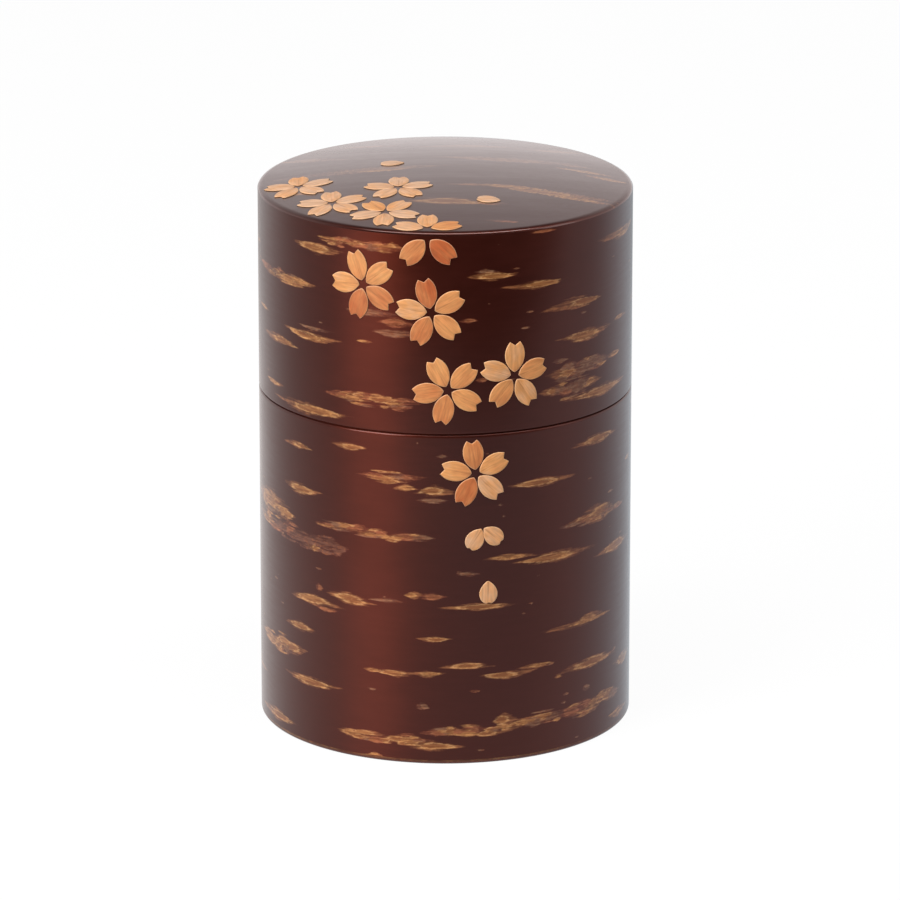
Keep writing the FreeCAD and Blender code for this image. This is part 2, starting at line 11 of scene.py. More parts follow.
import bpy
import numpy as np
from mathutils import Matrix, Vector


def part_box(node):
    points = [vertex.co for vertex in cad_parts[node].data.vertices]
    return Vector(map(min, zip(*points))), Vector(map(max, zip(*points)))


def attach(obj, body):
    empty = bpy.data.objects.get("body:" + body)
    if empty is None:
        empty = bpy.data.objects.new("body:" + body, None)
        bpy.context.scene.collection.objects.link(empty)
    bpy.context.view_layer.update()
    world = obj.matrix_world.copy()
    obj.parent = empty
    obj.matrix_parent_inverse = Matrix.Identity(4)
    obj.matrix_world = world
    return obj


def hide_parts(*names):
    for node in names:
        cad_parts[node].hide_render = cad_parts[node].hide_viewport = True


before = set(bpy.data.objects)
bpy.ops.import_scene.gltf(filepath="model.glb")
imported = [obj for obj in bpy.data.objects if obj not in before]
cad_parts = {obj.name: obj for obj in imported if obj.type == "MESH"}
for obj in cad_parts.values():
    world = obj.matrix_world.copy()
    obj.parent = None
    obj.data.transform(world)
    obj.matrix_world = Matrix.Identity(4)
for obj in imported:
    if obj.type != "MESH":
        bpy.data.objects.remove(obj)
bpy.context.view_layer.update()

# %% [markdown]
# ## Sizes
# The skins have to lie where the CAD pieces are. The main sizes are therefore read off the CAD nodes'
# boxes, and only the small roundings, which a box cannot show, are written down here again.

# %% Sizes read off the CAD model
MM = 0.001
outer_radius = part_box("base_bark")[1][0]
bark_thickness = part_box("base_bark")[1][2]
core_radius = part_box("body_core")[1][0]
seam_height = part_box("body_core")[1][2]
inner_board_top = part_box("inner_lid_board")[1][2]
inner_bark_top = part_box("inner_lid_bark")[1][2]
inner_bark_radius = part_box("inner_lid_bark")[1][0]

dome_rise = 3.0 * MM
edge_round = 0.5 * MM
seam_round = 0.35 * MM
lip_round = 0.08 * MM
rim_round = 0.8 * MM
shoulder_round = 2.0 * MM
tenon_bore = 3.05 * MM
petal_proud = 0.3 * MM
lid_height = 44.0 * MM

rim_height = seam_height + lid_height
dome_sphere = (outer_radius ** 2 + dome_rise ** 2) / (2 * dome_rise)
dome_centre = rim_height + dome_rise - dome_sphere
bark_underside_sphere = dome_sphere - bark_thickness


def dome_height(sphere, radius):
    """Height of a sphere about the dome's centre: centre + root of (sphere squared - radius squared)."""
    return dome_centre + np.sqrt(sphere ** 2 - radius ** 2)


print(f"caddy {2 * outer_radius / MM:.1f} mm across, seam at {seam_height / MM:.1f} mm,",
      f"crown at {dome_height(dome_sphere, 0) / MM:.1f} mm")

# %% [markdown]
# ## Closed surfaces from rings
# Every new piece here is a stack of closed rings: a skin is a profile carried round the caddy's axis,
# and a petal is its own outline, shrunk towards its middle while it rises. Both are one grid of points,
# rings by columns, so one function can join them into faces. A stack either loops back on itself, as a
# tube's wall does, or ends in a pole at each end.

# %% Joining rings into a mesh
# degrees between two faces past which their shared edge stays sharp
SHARP_ANGLE = 50


def ring_faces(rings, columns, looped):
    """Faces between neighbouring rings: quads, and a fan of triangles to a pole at each open end."""
    here = np.arange(rings * columns).reshape(rings, columns)
    beside = np.roll(here, -1, axis=1)
    above, above_beside = np.roll(here, -1, axis=0), np.roll(beside, -1, axis=0)
    last = rings if looped else rings - 1
    quads = np.stack([here, beside, above_beside, above], axis=-1)[:last].reshape(-1, 4)
    if looped:
        return quads, np.empty((0, 3), dtype=int)
    bottom = np.full(columns, rings * columns)
    top = bottom + 1
    low_fan = np.stack([bottom, beside[0], here[0]], axis=-1)
    high_fan = np.stack([here[-1], beside[-1], top], axis=-1)
    return quads, np.concatenate([low_fan, high_fan])


def new_piece(name, points, faces, values=None, colours=None, flat=None):
    """Object at the origin from points and face corners, with named values and colours at its points.

    flat gives each point's place on the piece's own flat pattern, which becomes its UV map.
    """
    mesh = bpy.data.meshes.new(name)
    all_faces = [face for group in faces for face in group.tolist()]
    mesh.from_pydata(points.reshape(-1, 3).tolist(), [], all_faces)
    mesh.polygons.foreach_set("use_smooth", np.ones(len(mesh.polygons), dtype=bool))
    mesh.set_sharp_from_angle(angle=math.radians(SHARP_ANGLE))
    for title, numbers in (values or {}).items():
        mesh.attributes.new(title, "FLOAT", "POINT").data.foreach_set("value", numbers.ravel())
    for title, shades in (colours or {}).items():
        opaque = np.concatenate([shades.reshape(-1, 3), np.ones((shades.size // 3, 1))], axis=1)
        mesh.attributes.new(title, "FLOAT_COLOR", "POINT").data.foreach_set("color", opaque.ravel())
    if flat is not None:
        corners = np.empty(len(mesh.loops), dtype=np.int32)
        mesh.loops.foreach_get("vertex_index", corners)
        layer = mesh.uv_layers.new(name="flat_pattern")
        layer.data.foreach_set("uv", flat.reshape(-1, 2)[corners].ravel())
    mesh.update()
    piece = bpy.data.objects.new(name, mesh)
    bpy.context.scene.collection.objects.link(piece)
    return piece


def arc(centre, radius, start, stop, count):
    """Points of radius and height on part of a circle, from one angle to another in degrees."""
    angles = np.radians(np.linspace(start, stop, count))
    return np.stack([centre[0] + radius * np.cos(angles), centre[1] + radius * np.sin(angles)], axis=-1)


def line(start, stop, count):
    """Points of radius and height, evenly spaced between two places, both included."""
    return np.linspace(start, stop, count)


def turned(profile, columns):
    """Carry a profile round the axis: x = r sin a, y = -r cos a, z = h, with a = 0 at the front."""
    angle = np.linspace(-np.pi, np.pi, columns, endpoint=False)
    radius, height = profile[:, :1], profile[:, 1:]
    return np.stack([radius * np.sin(angle), -radius * np.cos(angle),
                     np.broadcast_to(height, (len(profile), columns))], axis=-1)


print("three rings of 8 points give", *(len(group) for group in ring_faces(3, 8, looped=False)),
      "quads and triangles")

# %% [markdown]
# ## Streaks of the bark
# Cherry bark breathes through lenticels: flat lenses of pale cork that lie round the trunk. On the
# caddy they run level and taper to long points, and a brighter core with a dark eye lies in the middle.
# They could be painted by a texture alone, but then none would sit where the photograph shows it. So
# each streak is a lens in a list, and numbers at every point of the skin tell how deep inside the nearest
# lens and its core it lies. The material later turns those numbers into torn cork fibres.

# %% Kinds of streak
# colour of the cork, and how strongly a dark eye shows in its core
STREAK_KINDS = {
    "gold": ((0.36, 0.17, 0.056), 0.35),
    "eye": ((0.36, 0.167, 0.055), 1.0),
    "dull": ((0.15, 0.08, 0.044), 0.1),
    "rust": ((0.22, 0.075, 0.032), 0.2),
    "faint": ((0.085, 0.038, 0.024), 0.0),
}
# broad streaks made of many lenses: how often each kind turns up in them
PATCH_KINDS = {
    "patch": {"gold": 0.3, "eye": 0.35, "rust": 0.2, "dull": 0.15},
    "moss": {"gold": 0.08, "eye": 0.12, "rust": 0.15, "dull": 0.65},
    "rusty": {"gold": 0.2, "eye": 0.15, "rust": 0.45, "dull": 0.2},
    "smudge": {"eye": 0.04, "rust": 0.16, "faint": 0.8},
}
print(len(STREAK_KINDS), "kinds of streak and", len(PATCH_KINDS), "kinds of patch")

# %% Lenses, and patches of many lenses
# power that shapes a lens, between a diamond at 1 and a parabola at 2, and its core as shares of it
POINTED = 1.3
CORE_LENGTH, CORE_THICKNESS = 0.55, 0.62
# how far a lens may bend and its core may lean, and what a bent lens's middle moves the other way
BEND, LEAN, BEND_BACK = 0.5, 0.35, 0.3
# depth that stands for a point far from every lens
FAR_OUTSIDE = -2.0
# a patch has cells, one to every few millimetres, and threads between them
FEWEST_CELLS, CELL_PITCH, THREADS_PER_CELL = 2, 3.0, 2
# their reach along and aside as shares of half the patch, and how far they stray in millimetres
CELL_ALONG, THREAD_ALONG = 0.75, 0.9
CELL_ASIDE, THREAD_ASIDE = (-0.45, 0.45), (-1.0, 1.0)
PATCH_SHOULDER, STRAY = 1.1, 1.0
# their sizes in millimetres, but a cell's thickness is a share of the patch's
CELL_LENGTH, THREAD_LENGTH = (5.0, 11.0), (3.0, 8.0)
CELL_THICKNESS, THREAD_THICKNESS = (0.45, 0.75), (0.45, 1.0)


def kinds_by_chance(rng, chances, count):
    """Kinds of streak, drawn from a table of how often each turns up."""
    return rng.choice(list(chances), count, p=list(chances.values()))


def streak(rng, across, up, length, thickness, kind, turn=0.0):
    """One lens in millimetres: middle, half sizes, turn, bend, lean of its core, eye and colour."""
    colour, eye = STREAK_KINDS[kind]
    bend, lean = rng.uniform(-BEND, BEND), rng.uniform(-LEAN, LEAN)
    return [across, up, length / 2, thickness / 2, math.radians(turn), bend, lean, eye, *colour]


def patch(rng, across, up, length, thickness, kind, turn=0.0):
    """Lenses side by side along a streak, with threads of cork between, closer together at its ends."""
    cells = FEWEST_CELLS + int(length / CELL_PITCH)
    threads = THREADS_PER_CELL * cells
    count = cells + threads

    def drawn(cell_range, thread_range):
        return np.concatenate([rng.uniform(*cell_range, cells), rng.uniform(*thread_range, threads)])

    evenly = np.linspace(-CELL_ALONG, CELL_ALONG, cells)
    along = np.concatenate([evenly, rng.uniform(-THREAD_ALONG, THREAD_ALONG, threads)])
    along = along + rng.uniform(-STRAY, STRAY, count) / length
    aside = drawn(CELL_ASIDE, THREAD_ASIDE) * (PATCH_SHOULDER - along ** 2)
    lengths = drawn(CELL_LENGTH, THREAD_LENGTH)
    thicknesses = drawn(CELL_THICKNESS, THREAD_THICKNESS)
    thicknesses[:cells] *= thickness
    kinds = kinds_by_chance(rng, PATCH_KINDS[kind], count)
    return [streak(rng, across + length / 2 * a, up + thickness / 2 * b, long, thick, name, turn)
            for a, b, long, thick, name in zip(along, aside, lengths, thicknesses, kinds)]


def streaks_from(table, rng, place):
    """Rows for a table of streaks and patches. place turns a table entry's first two numbers into mm."""
    rows = []
    for first, second, length, thickness, kind, *turn in table:
        across, up = place(first, second)
        if kind in PATCH_KINDS:
            rows += patch(rng, across, up, length, thickness, kind, *turn)
        else:
            rows.append(streak(rng, across, up, length, thickness, kind, *turn))
    return rows


example = patch(np.random.default_rng(0), across=0, up=0, length=20, thickness=3, kind="patch")
print("a patch 20 mm long is made of", len(example), "lenses")


# %% What every point knows of the streaks
def streak_field(across, up, rows, girth=None):
    """What every point knows of the nearest lens: values by name, and its colour.

    With t = along / half length and s = aside / half thickness, bent by bend * (t ** 2 - BEND_BACK),
    depth is 1 - |t| ** POINTED - |s|: 1 in the middle of a lens, 0 on its outline and negative outside.
    Core is the same for an ellipse inside, moved along by the lean. Round a wall, distances along wrap at
    the girth.
    """
    depth = np.full(across.shape, FAR_OUTSIDE)
    core = np.full(across.shape, FAR_OUTSIDE)
    side, eye = np.zeros((2,) + across.shape)
    colour = np.empty(across.shape + (3,))
    colour[:] = STREAK_KINDS["dull"][0]
    for middle, level, half_length, half_thickness, turn, bend, lean, row_eye, *row_colour in rows:
        away, above = across - middle, up - level
        if girth:
            away = (away + girth / 2) % girth - girth / 2
        t = (away * math.cos(turn) + above * math.sin(turn)) / half_length
        s = (above * math.cos(turn) - away * math.sin(turn)) / half_thickness
        s = s + bend * (t ** 2 - BEND_BACK)
        row_depth = 1 - np.abs(t) ** POINTED - np.abs(s)
        row_core = 1 - ((t - lean) / CORE_LENGTH) ** 2 - (s / CORE_THICKNESS) ** 2
        nearer = row_depth > depth
        depth[nearer] = row_depth[nearer]
        core[nearer] = row_core[nearer]
        side[nearer] = s[nearer]
        eye[nearer] = row_eye
        colour[nearer] = row_colour
    values = {"streak_depth": depth, "streak_core": core, "streak_side": side, "streak_eye": eye}
    return values, {"streak_colour": colour}


example = streak(np.random.default_rng(0), across=0, up=0, length=10, thickness=2, kind="eye")
places = np.linspace(-6, 6, 5)
example_values, _ = streak_field(places, np.zeros_like(places), [example])
print("a lens 10 mm long has, at", places, "mm along, depths of", example_values["streak_depth"].round(2))

# %% Streaks on the front, placed as the photograph shows them
# degrees round from the front, height, length and thickness in millimetres, kind
LID_STREAKS = [
    (-42, 111, 16, 2.6, "eye"), (-27, 113.3, 18, 2.8, "rusty"), (-16, 113.5, 5, 2, "gold"),
    (-60, 102.5, 20, 3.0, "patch"), (-57, 101.6, 14, 1.5, "gold"), (-74, 93, 9, 1, "gold"),
    (-62.5, 88, 17, 2.4, "eye"), (-45, 91.4, 19, 2.4, "eye"), (-43, 93.2, 11, 1.2, "dull"),
    (-25, 92.5, 4.5, 0.8, "gold"), (-22.5, 99, 14, 2.2, "dull"), (-15, 97.2, 9, 2.6, "rust"),
    (-15, 95, 12, 2.2, "dull"), (-65, 78, 10, 1.4, "gold"), (-23, 80, 19, 3, "patch"),
    (-14, 78.7, 6, 1.6, "rust"), (37, 87, 5, 1.4, "dull"), (47, 84.4, 15, 4.4, "moss"),
    (63, 84.6, 8, 1.4, "gold"), (38, 82.8, 6, 1.6, "dull"), (34, 80.6, 7.6, 2.2, "eye"),
    (43, 80.4, 12, 4.2, "moss"), (56, 77.9, 26, 2.8, "eye"), (11, 85, 3, 1.4, "rust"),
    (-46.5, 75.3, 24, 2.9, "eye"), (14, 107.4, 13, 2, "eye"), (12, 108.5, 6, 1.2, "dull"),
    (28, 104.6, 16, 2.1, "eye"), (43, 98.7, 18, 2.8, "eye"), (48.5, 91.4, 18, 3.0, "eye"),
    (68, 110.6, 22, 2.6, "gold"), (7, 98, 4.5, 1.3, "rust"), (68, 92, 8, 1.1, "gold"),
    (31, 115.9, 8.6, 0.8, "rust"),
]
BODY_STREAKS = [
    (-51.5, 66.4, 10.5, 1.7, "eye"), (-30.5, 69, 9.5, 1.8, "eye"), (-50, 57, 13, 3.0, "eye"),
    (-17, 63.5, 9, 2.8, "patch"), (-12, 61.2, 6, 1.8, "gold"), (-3, 60.7, 10, 2.5, "eye"),
    (-4, 58.7, 8, 1.5, "dull"), (-1, 68.4, 2.8, 1, "dull"), (31, 61.1, 19, 2.1, "eye"),
    (17, 57.3, 1.6, 0.7, "dull"), (18, 54.7, 1.7, 0.5, "dull"), (-70, 51, 20, 6, "gold"),
    (-66, 50, 15, 4.6, "patch"), (-73, 46.5, 6, 2.6, "patch"), (-50, 46, 28, 4.6, "smudge"),
    (-44, 44.8, 4, 1.8, "eye"), (-25, 50.6, 24, 2.9, "patch"), (-42, 36.2, 2.6, 2.1, "rust"),
    (-8, 50.4, 8.5, 1.8, "dull"), (19.5, 45.5, 13.5, 1.6, "gold"), (37, 44, 23, 2.8, "eye"),
    (7, 42.4, 5.5, 1.4, "dull"), (-9.5, 37.6, 5, 1.9, "gold"), (-4, 37.4, 7, 2, "rust"),
    (10, 35, 18, 1.9, "eye"), (24.5, 32.6, 1.5, 0.6, "dull"), (54, 67.4, 18, 2.6, "eye"),
    (77, 59, 6, 1.2, "gold"), (54, 50.3, 22, 2.2, "moss"), (54, 50.6, 18, 4.4, "eye"),
    (66, 41.5, 19, 3.0, "eye"), (-44, 33, 17, 2.6, "eye"), (-39, 31.7, 6.5, 1.2, "rust"),
    (-30.5, 35.2, 13, 3.0, "eye", -5), (-18, 36, 8.5, 1.3, "dull"), (-51, 26, 12, 2.3, "eye"),
    (-63, 20.4, 17, 4.4, "patch"), (-46, 14.5, 19, 2.5, "eye"), (-23, 20.2, 5, 1.1, "gold"),
    (-15, 20, 10, 1.9, "eye"), (-5.5, 20.2, 8, 1.6, "gold"), (-65.5, 3.4, 19, 2.7, "eye"),
    (-19.5, 5.2, 18.5, 3, "patch"), (-22, 1.3, 3.5, 0.9, "gold"), (-3.5, 28, 8.5, 1.6, "eye"),
    (6.5, 21.9, 12.5, 1.8, "eye"), (19.5, 19.4, 13.5, 2.0, "eye"), (29, 20.5, 10, 1.3, "gold"),
    (51, 17.8, 22, 2.8, "eye"), (37, 17, 2.2, 0.9, "gold"), (47, 27.6, 25, 1.7, "gold"),
    (51, 28.2, 9, 2.4, "gold"), (73, 14.6, 13, 3.0, "eye"), (49, 12.5, 3, 1.8, "dull"),
    (40, 12.6, 2, 0.9, "dull"), (39, 10.9, 2, 0.9, "dull"), (52, 8.4, 20, 4.2, "patch"),
    (68, 3.2, 12, 2.2, "gold"), (8, 7.2, 19, 3.2, "patch"), (18.5, 9.3, 6.5, 3.0, "eye"),
    (-4, 4, 14, 2.4, "eye"), (36.5, 7.4, 3, 1.3, "gold"), (30, 8.5, 8, 4, "moss"),
    (-7, 12.9, 3.4, 2.0, "dull"), (9, 16.2, 3.5, 0.7, "rust"),
]
# right and back of the axis, length and thickness in millimetres, kind, turn in degrees
TOP_STREAKS = [
    (14, 10.5, 36, 5, "dull", -3), (-18, 1.8, 42, 5, "dull", 6), (-14, 1.0, 18, 2.6, "gold", 5),
    (12, -11.5, 26, 2.6, "gold", -4), (24, -14.5, 26, 4.2, "eye", -7), (29, -17, 18, 2.4, "gold", -8),
    (1, -22.3, 22, 4.6, "eye", -5), (9, -22.5, 9, 2.4, "dull", -5), (30, 4.5, 15, 2.4, "gold", -13),
    (34, 0.5, 12, 2.6, "eye", -16), (27, 9, 11, 2, "dull", -10), (-29, 15, 18, 4, "dull", -14),
    (4, 24, 24, 4, "dull", 2), (-16, 26, 16, 3, "dull", -4), (24, 23, 14, 4, "dull", 6),
    (-30, -12, 7, 2.4, "gold", 8), (12, -33, 9, 1.6, "rust", -3),
]
print(len(LID_STREAKS), "streaks on the lid,", len(BODY_STREAKS), "on the body,",
      len(TOP_STREAKS), "on the top")

# %% [markdown]
# ## Bark skins
# The bark is soaked, ironed flat and glued round the veneer, and its two ends meet at the back. Each
# skin repeats its CAD piece's profile, with many more rings where the streaks need them. Behind the
# front the streaks are free, so a seeded generator strews them, and fine dashes all round.

# %% Strewing streaks where the photograph does not reach
GIRTH = 2 * np.pi * outer_radius / MM
WALL_COLUMNS = 384
# degrees between which the streaks are free
BACK_START, BACK_STOP = 84, 276
# free streaks, in millimetres: spread of their lengths, thickness from length, room to a wall's edges
FREE_SHAPE, FREE_SCALE, FREE_LIMITS = 4.0, 3.0, (3, 26)
FREE_THIN, FREE_THICKER, FREE_SPREAD = 0.7, 0.085, (0.75, 1.25)
FREE_MARGIN = 1.5
FREE_KINDS = {"eye": 0.38, "gold": 0.18, "dull": 0.12, "rust": 0.08, "patch": 0.17, "moss": 0.07}
# fine dashes in the same way
DASH_LENGTHS, DASH_THIN, DASH_THICKER, DASH_MARGIN = (1.0, 3.2), 0.35, 0.12, 1
# pale line along a wall's lower edge
PALE_FOOT_COLOUR, PALE_FOOT_DEPTH = (0.075, 0.045, 0.018), 0.3


def on_wall(degrees, height):
    """Distance round the wall from the front, in millimetres, and the height."""
    return degrees / 360 * GIRTH, height


def strewn(rng, count, low, high):
    """Table of free streaks over the back of a wall, between two heights."""
    degrees = rng.uniform(BACK_START, BACK_STOP, count)
    heights = rng.uniform(low + FREE_MARGIN, high - FREE_MARGIN, count)
    lengths = rng.gamma(FREE_SHAPE, FREE_SCALE, count).clip(*FREE_LIMITS)
    thicknesses = (FREE_THIN + FREE_THICKER * lengths) * rng.uniform(*FREE_SPREAD, count)
    kinds = kinds_by_chance(rng, FREE_KINDS, count)
    return list(zip(degrees, heights, lengths, thicknesses, kinds))


def dashes(rng, count, low, high):
    """Table of fine short dashes all round a wall."""
    degrees = rng.uniform(-180, 180, count)
    heights = rng.uniform(low + DASH_MARGIN, high - DASH_MARGIN, count)
    lengths = rng.uniform(*DASH_LENGTHS, count)
    return list(zip(degrees, heights, lengths, DASH_THIN + DASH_THICKER * lengths, ["dull"] * count))


def wall_skin(name, profile, cut, pale_below, table, seed, free, fine):
    """Skin turned from a closed profile, with streaks from a table and free ones behind.

    cut says how far each ring of the profile is unpolished cut edge and painted seam shade, from 0 to 1.
    Rings lower than pale_below get a paler colour.
    """
    rng = np.random.default_rng(seed)
    points = turned(profile, WALL_COLUMNS)
    low, high = profile[:, 1].min() / MM, profile[:, 1].max() / MM
    table = table + strewn(rng, free, low, high) + dashes(rng, fine, low, high)
    across = np.arctan2(points[..., 0], -points[..., 1]) * outer_radius / MM
    rows = streaks_from(table, rng, on_wall)
    values, colours = streak_field(across, points[..., 2] / MM, rows, GIRTH)
    # a paler colour along the wall's foot
    pale_foot_rings = profile[:, 1] < pale_below
    values["streak_depth"][pale_foot_rings] = PALE_FOOT_DEPTH
    values["streak_core"][pale_foot_rings] = 1.0
    values["streak_eye"][pale_foot_rings] = 0.0
    colours["streak_colour"][pale_foot_rings] = PALE_FOOT_COLOUR
    # dark unpolished edge, painted near black as the shade in the seam
    values["cut_edge_and_seam_shade"] = np.repeat(cut, WALL_COLUMNS)
    return new_piece(name, points, ring_faces(len(profile), WALL_COLUMNS, looped=True), values, colours)


print(f"girth {GIRTH:.1f} mm, with free streaks from {BACK_START} to {BACK_STOP} degrees")

# %% Body and lid walls
LIP_RINGS = 6
FLAT_RINGS = 3
BODY_RINGS, LID_RINGS = 240, 150
# share of the body's lip that is polished, from the wall inwards, the rest painted dark as seam shade,
# and how high its foot is paler
LIP_POLISHED = 0.5
PALE_FOOT_HEIGHT = 0.4 * MM

lid_wall_top = dome_height(bark_underside_sphere, outer_radius)
lid_core_top = dome_height(bark_underside_sphere, core_radius)
body_lip_centre = (outer_radius - seam_round, seam_height - seam_round)
body_profile = np.concatenate([
    line((core_radius, bark_thickness), (outer_radius, bark_thickness), FLAT_RINGS)[:-1],
    line((outer_radius, bark_thickness), (outer_radius, body_lip_centre[1]), BODY_RINGS)[:-1],
    arc(body_lip_centre, seam_round, 0, 90, LIP_RINGS),
    line((body_lip_centre[0], seam_height), (core_radius, seam_height), FLAT_RINGS)[1:],
])
# a small step under the lid's edge keeps the seam dark
step_radius, step_height = outer_radius - seam_round, seam_height + seam_round
lid_lip_centre = (outer_radius - lip_round, step_height + lip_round)
lid_profile = np.concatenate([
    line((core_radius, seam_height), (step_radius, seam_height), FLAT_RINGS)[:-1],
    line((step_radius, seam_height), (step_radius, step_height), FLAT_RINGS)[:-1],
    line((step_radius, step_height), (lid_lip_centre[0], step_height), FLAT_RINGS)[:-1],
    arc(lid_lip_centre, lip_round, -90, 0, LIP_RINGS),
    line((outer_radius, lid_lip_centre[1]), (outer_radius, lid_wall_top), LID_RINGS)[1:],
    line((outer_radius, lid_wall_top), (core_radius, lid_core_top), FLAT_RINGS)[1:],
])
# the step is unpolished cut edge painted near black as seam shade, and so is the inner half of the body's
# lip
lid_cut_and_shade = np.clip((outer_radius - lid_profile[:, 0]) / lip_round, 0, 1)
lip_share = (outer_radius - body_profile[:, 0]) / seam_round
body_cut_and_shade = np.clip((lip_share - LIP_POLISHED) / (1 - LIP_POLISHED), 0, 1)
body_pale_foot = bark_thickness + PALE_FOOT_HEIGHT
body_skin = wall_skin("body_bark_skin", body_profile, body_cut_and_shade, body_pale_foot, BODY_STREAKS,
                      seed=11, free=78, fine=60)
lid_skin = wall_skin("lid_bark_skin", lid_profile, lid_cut_and_shade, 0.0, LID_STREAKS, seed=23, free=48, fine=36)
print("body skin", len(body_skin.data.polygons), "faces, lid skin", len(lid_skin.data.polygons))

# %% [markdown]
# ## Bark discs
# A domed disc covers the lid, a flat one the base, and a bored one the inner lid. Their streaks all run
# one way, across the disc, because each is cut from a flat sheet of bark. The lid's disc follows the
# same sphere as its CAD piece; the others are flat.

# %% Skin of a disc
DISC_COLUMNS = 384
# colour of an unpolished rim, and the share of its round that shows it
RAW_RIM, RAW_SHARE = (0.07, 0.032, 0.015), 0.5
# free streaks of a disc, as on the walls, and how far they turn in degrees
DISC_SHAPE, DISC_SCALE, DISC_LIMITS = 4.0, 3.5, (4, 28)
DISC_THIN, DISC_THICKER, DISC_TURN = 0.9, 0.07, 6
DISC_KINDS = {"eye": 0.35, "gold": 0.2, "dull": 0.3, "patch": 0.15}


def disc_skin(name, profile, table, looped, raw_rim=False):
    """Disc turned from a profile, with streaks placed right and back of the axis in millimetres.

    A profile that starts and ends on the axis gives up those two points as the disc's poles. A raw rim
    shows the dull brown of bark cut through and not polished.
    """
    # the number of rings seeds the draws, so the discs differ
    rng = np.random.default_rng(len(profile))
    rings = profile if looped else profile[1:-1]
    points = turned(rings, DISC_COLUMNS).reshape(-1, 3)
    if not looped:
        poles = np.stack([np.zeros(2), np.zeros(2), profile[[0, -1], 1]], axis=-1)
        points = np.concatenate([points, poles])
    rows = streaks_from(table, rng, lambda right, back: (right, back))
    values, colours = streak_field(points[:, 0] / MM, points[:, 1] / MM, rows)
    values["cut_edge_and_seam_shade"] = np.zeros(len(points))
    if raw_rim:
        rim = np.hypot(points[:, 0], points[:, 1]) > outer_radius - RAW_SHARE * edge_round
        values["streak_depth"][rim] = 1.0
        values["streak_core"][rim] = -1.0
        colours["streak_colour"][rim] = RAW_RIM
    return new_piece(name, points, ring_faces(len(rings), DISC_COLUMNS, looped), values, colours)


def disc_streaks(seed, count, reach):
    """Table of free streaks that run across a disc."""
    rng = np.random.default_rng(seed)
    right = rng.uniform(-reach, reach, count)
    back = rng.uniform(-reach, reach, count)
    lengths = rng.gamma(DISC_SHAPE, DISC_SCALE, count).clip(*DISC_LIMITS)
    kinds = kinds_by_chance(rng, DISC_KINDS, count)
    turns = rng.uniform(-DISC_TURN, DISC_TURN, count)
    return list(zip(right, back, lengths, DISC_THIN + DISC_THICKER * lengths, kinds, turns))


# %% Lid top
DOME_RINGS, UNDER_RINGS = 110, 8
# two arcs round the rim: a tight one up from the wall, which ends at rim_turn degrees, then a wide one
# that runs on into the dome
rim_turn = 58
rim_radius = outer_radius - rim_round
wide_centre_radius = rim_radius - (shoulder_round - rim_round) * math.cos(math.radians(rim_turn))
dome_turn = math.degrees(math.acos(wide_centre_radius / (dome_sphere - shoulder_round)))
shoulder_radius = dome_sphere * math.cos(math.radians(dome_turn))
wide_centre = (wide_centre_radius, dome_height(dome_sphere - shoulder_round, wide_centre_radius))
rim_drop = (shoulder_round - rim_round) * math.sin(math.radians(rim_turn))
rim_centre = (rim_radius, wide_centre[1] + rim_drop)
rim_start = math.degrees(math.asin((lid_wall_top - rim_centre[1]) / rim_round))
under_radii = np.linspace(0, rim_radius + rim_round * math.cos(math.radians(rim_start)), UNDER_RINGS)
dome_radii = np.linspace(shoulder_radius, 0, DOME_RINGS)
top_profile = np.concatenate([
    np.stack([under_radii, dome_height(bark_underside_sphere, under_radii)], axis=-1),
    arc(rim_centre, rim_round, rim_start, rim_turn, LIP_RINGS)[1:],
    arc(wide_centre, shoulder_round, rim_turn, dome_turn, LIP_RINGS)[1:],
    np.stack([dome_radii, dome_height(dome_sphere, dome_radii)], axis=-1)[1:],
])
top_skin = disc_skin("lid_top_bark_skin", top_profile, TOP_STREAKS, looped=False)
print(f"rim turns from {rim_start:.0f} to {dome_turn:.1f} degrees,",
      f"and the dome starts at {shoulder_radius / MM:.1f} mm")

# %% Base and inner lid discs
DISC_RINGS = 40

base_edge = (outer_radius - edge_round, edge_round)
base_profile = np.concatenate([
    line((0, 0), (base_edge[0], 0), DISC_RINGS)[:-1],
    arc(base_edge, edge_round, -90, 0, LIP_RINGS),
    line((outer_radius, bark_thickness), (0, bark_thickness), FLAT_RINGS),
])
base_streaks = disc_streaks(seed=5, count=22, reach=36)
base_skin = disc_skin("base_bark_skin", base_profile, base_streaks, looped=False, raw_rim=True)

inner_profile = np.concatenate([
    line((tenon_bore, inner_board_top), (inner_bark_radius, inner_board_top), FLAT_RINGS),
    line((inner_bark_radius, inner_bark_top), (tenon_bore, inner_bark_top), DISC_RINGS),
])
inner_streaks = disc_streaks(seed=8, count=20, reach=32)
inner_skin = disc_skin("inner_lid_bark_skin", inner_profile, inner_streaks, looped=True)
print("base skin", len(base_skin.data.polygons), "faces, inner lid skin", len(inner_skin.data.polygons))

# %% What each skin stands for
for piece, cad_node, body in (
    (body_skin, "body_bark", "caddy_body"),
    (lid_skin, "lid_bark", "lid"),
    (top_skin, "lid_top_bark", "lid"),
    (base_skin, "base_bark", "caddy_body"),
    (inner_skin, "inner_lid_bark", "inner_lid"),
):
    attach(piece, body)
    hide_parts(cad_node)
    print(piece.name, "stands for", cad_node)

# %% [markdown]
# ## Petals
# The blossoms are the old scattered cherry blossom pattern: five notched petals, each sawn from pale
# wood and let into the bark, a hair proud of it and softened along the edge. A petal's outline is two
# arcs that swell from the root to two lobes. The solid form is that outline shrunk towards the petal's
# middle, ring by ring, while the height climbs over a rounded edge to a low crown.

# %% Outlines of the two kinds of petal
SIDE_POINTS, LOBE_POINTS = 22, 8
# places on the right half of a blossom's petal, across and along, as shares of the blossom's reach
HEEL, ROOT, WIDEST, TIP, NOTCH = (0.0, 0.118), (0.05, 0.144), (0.295, 0.66), (0.15, 1.0), (0.0, 0.9)
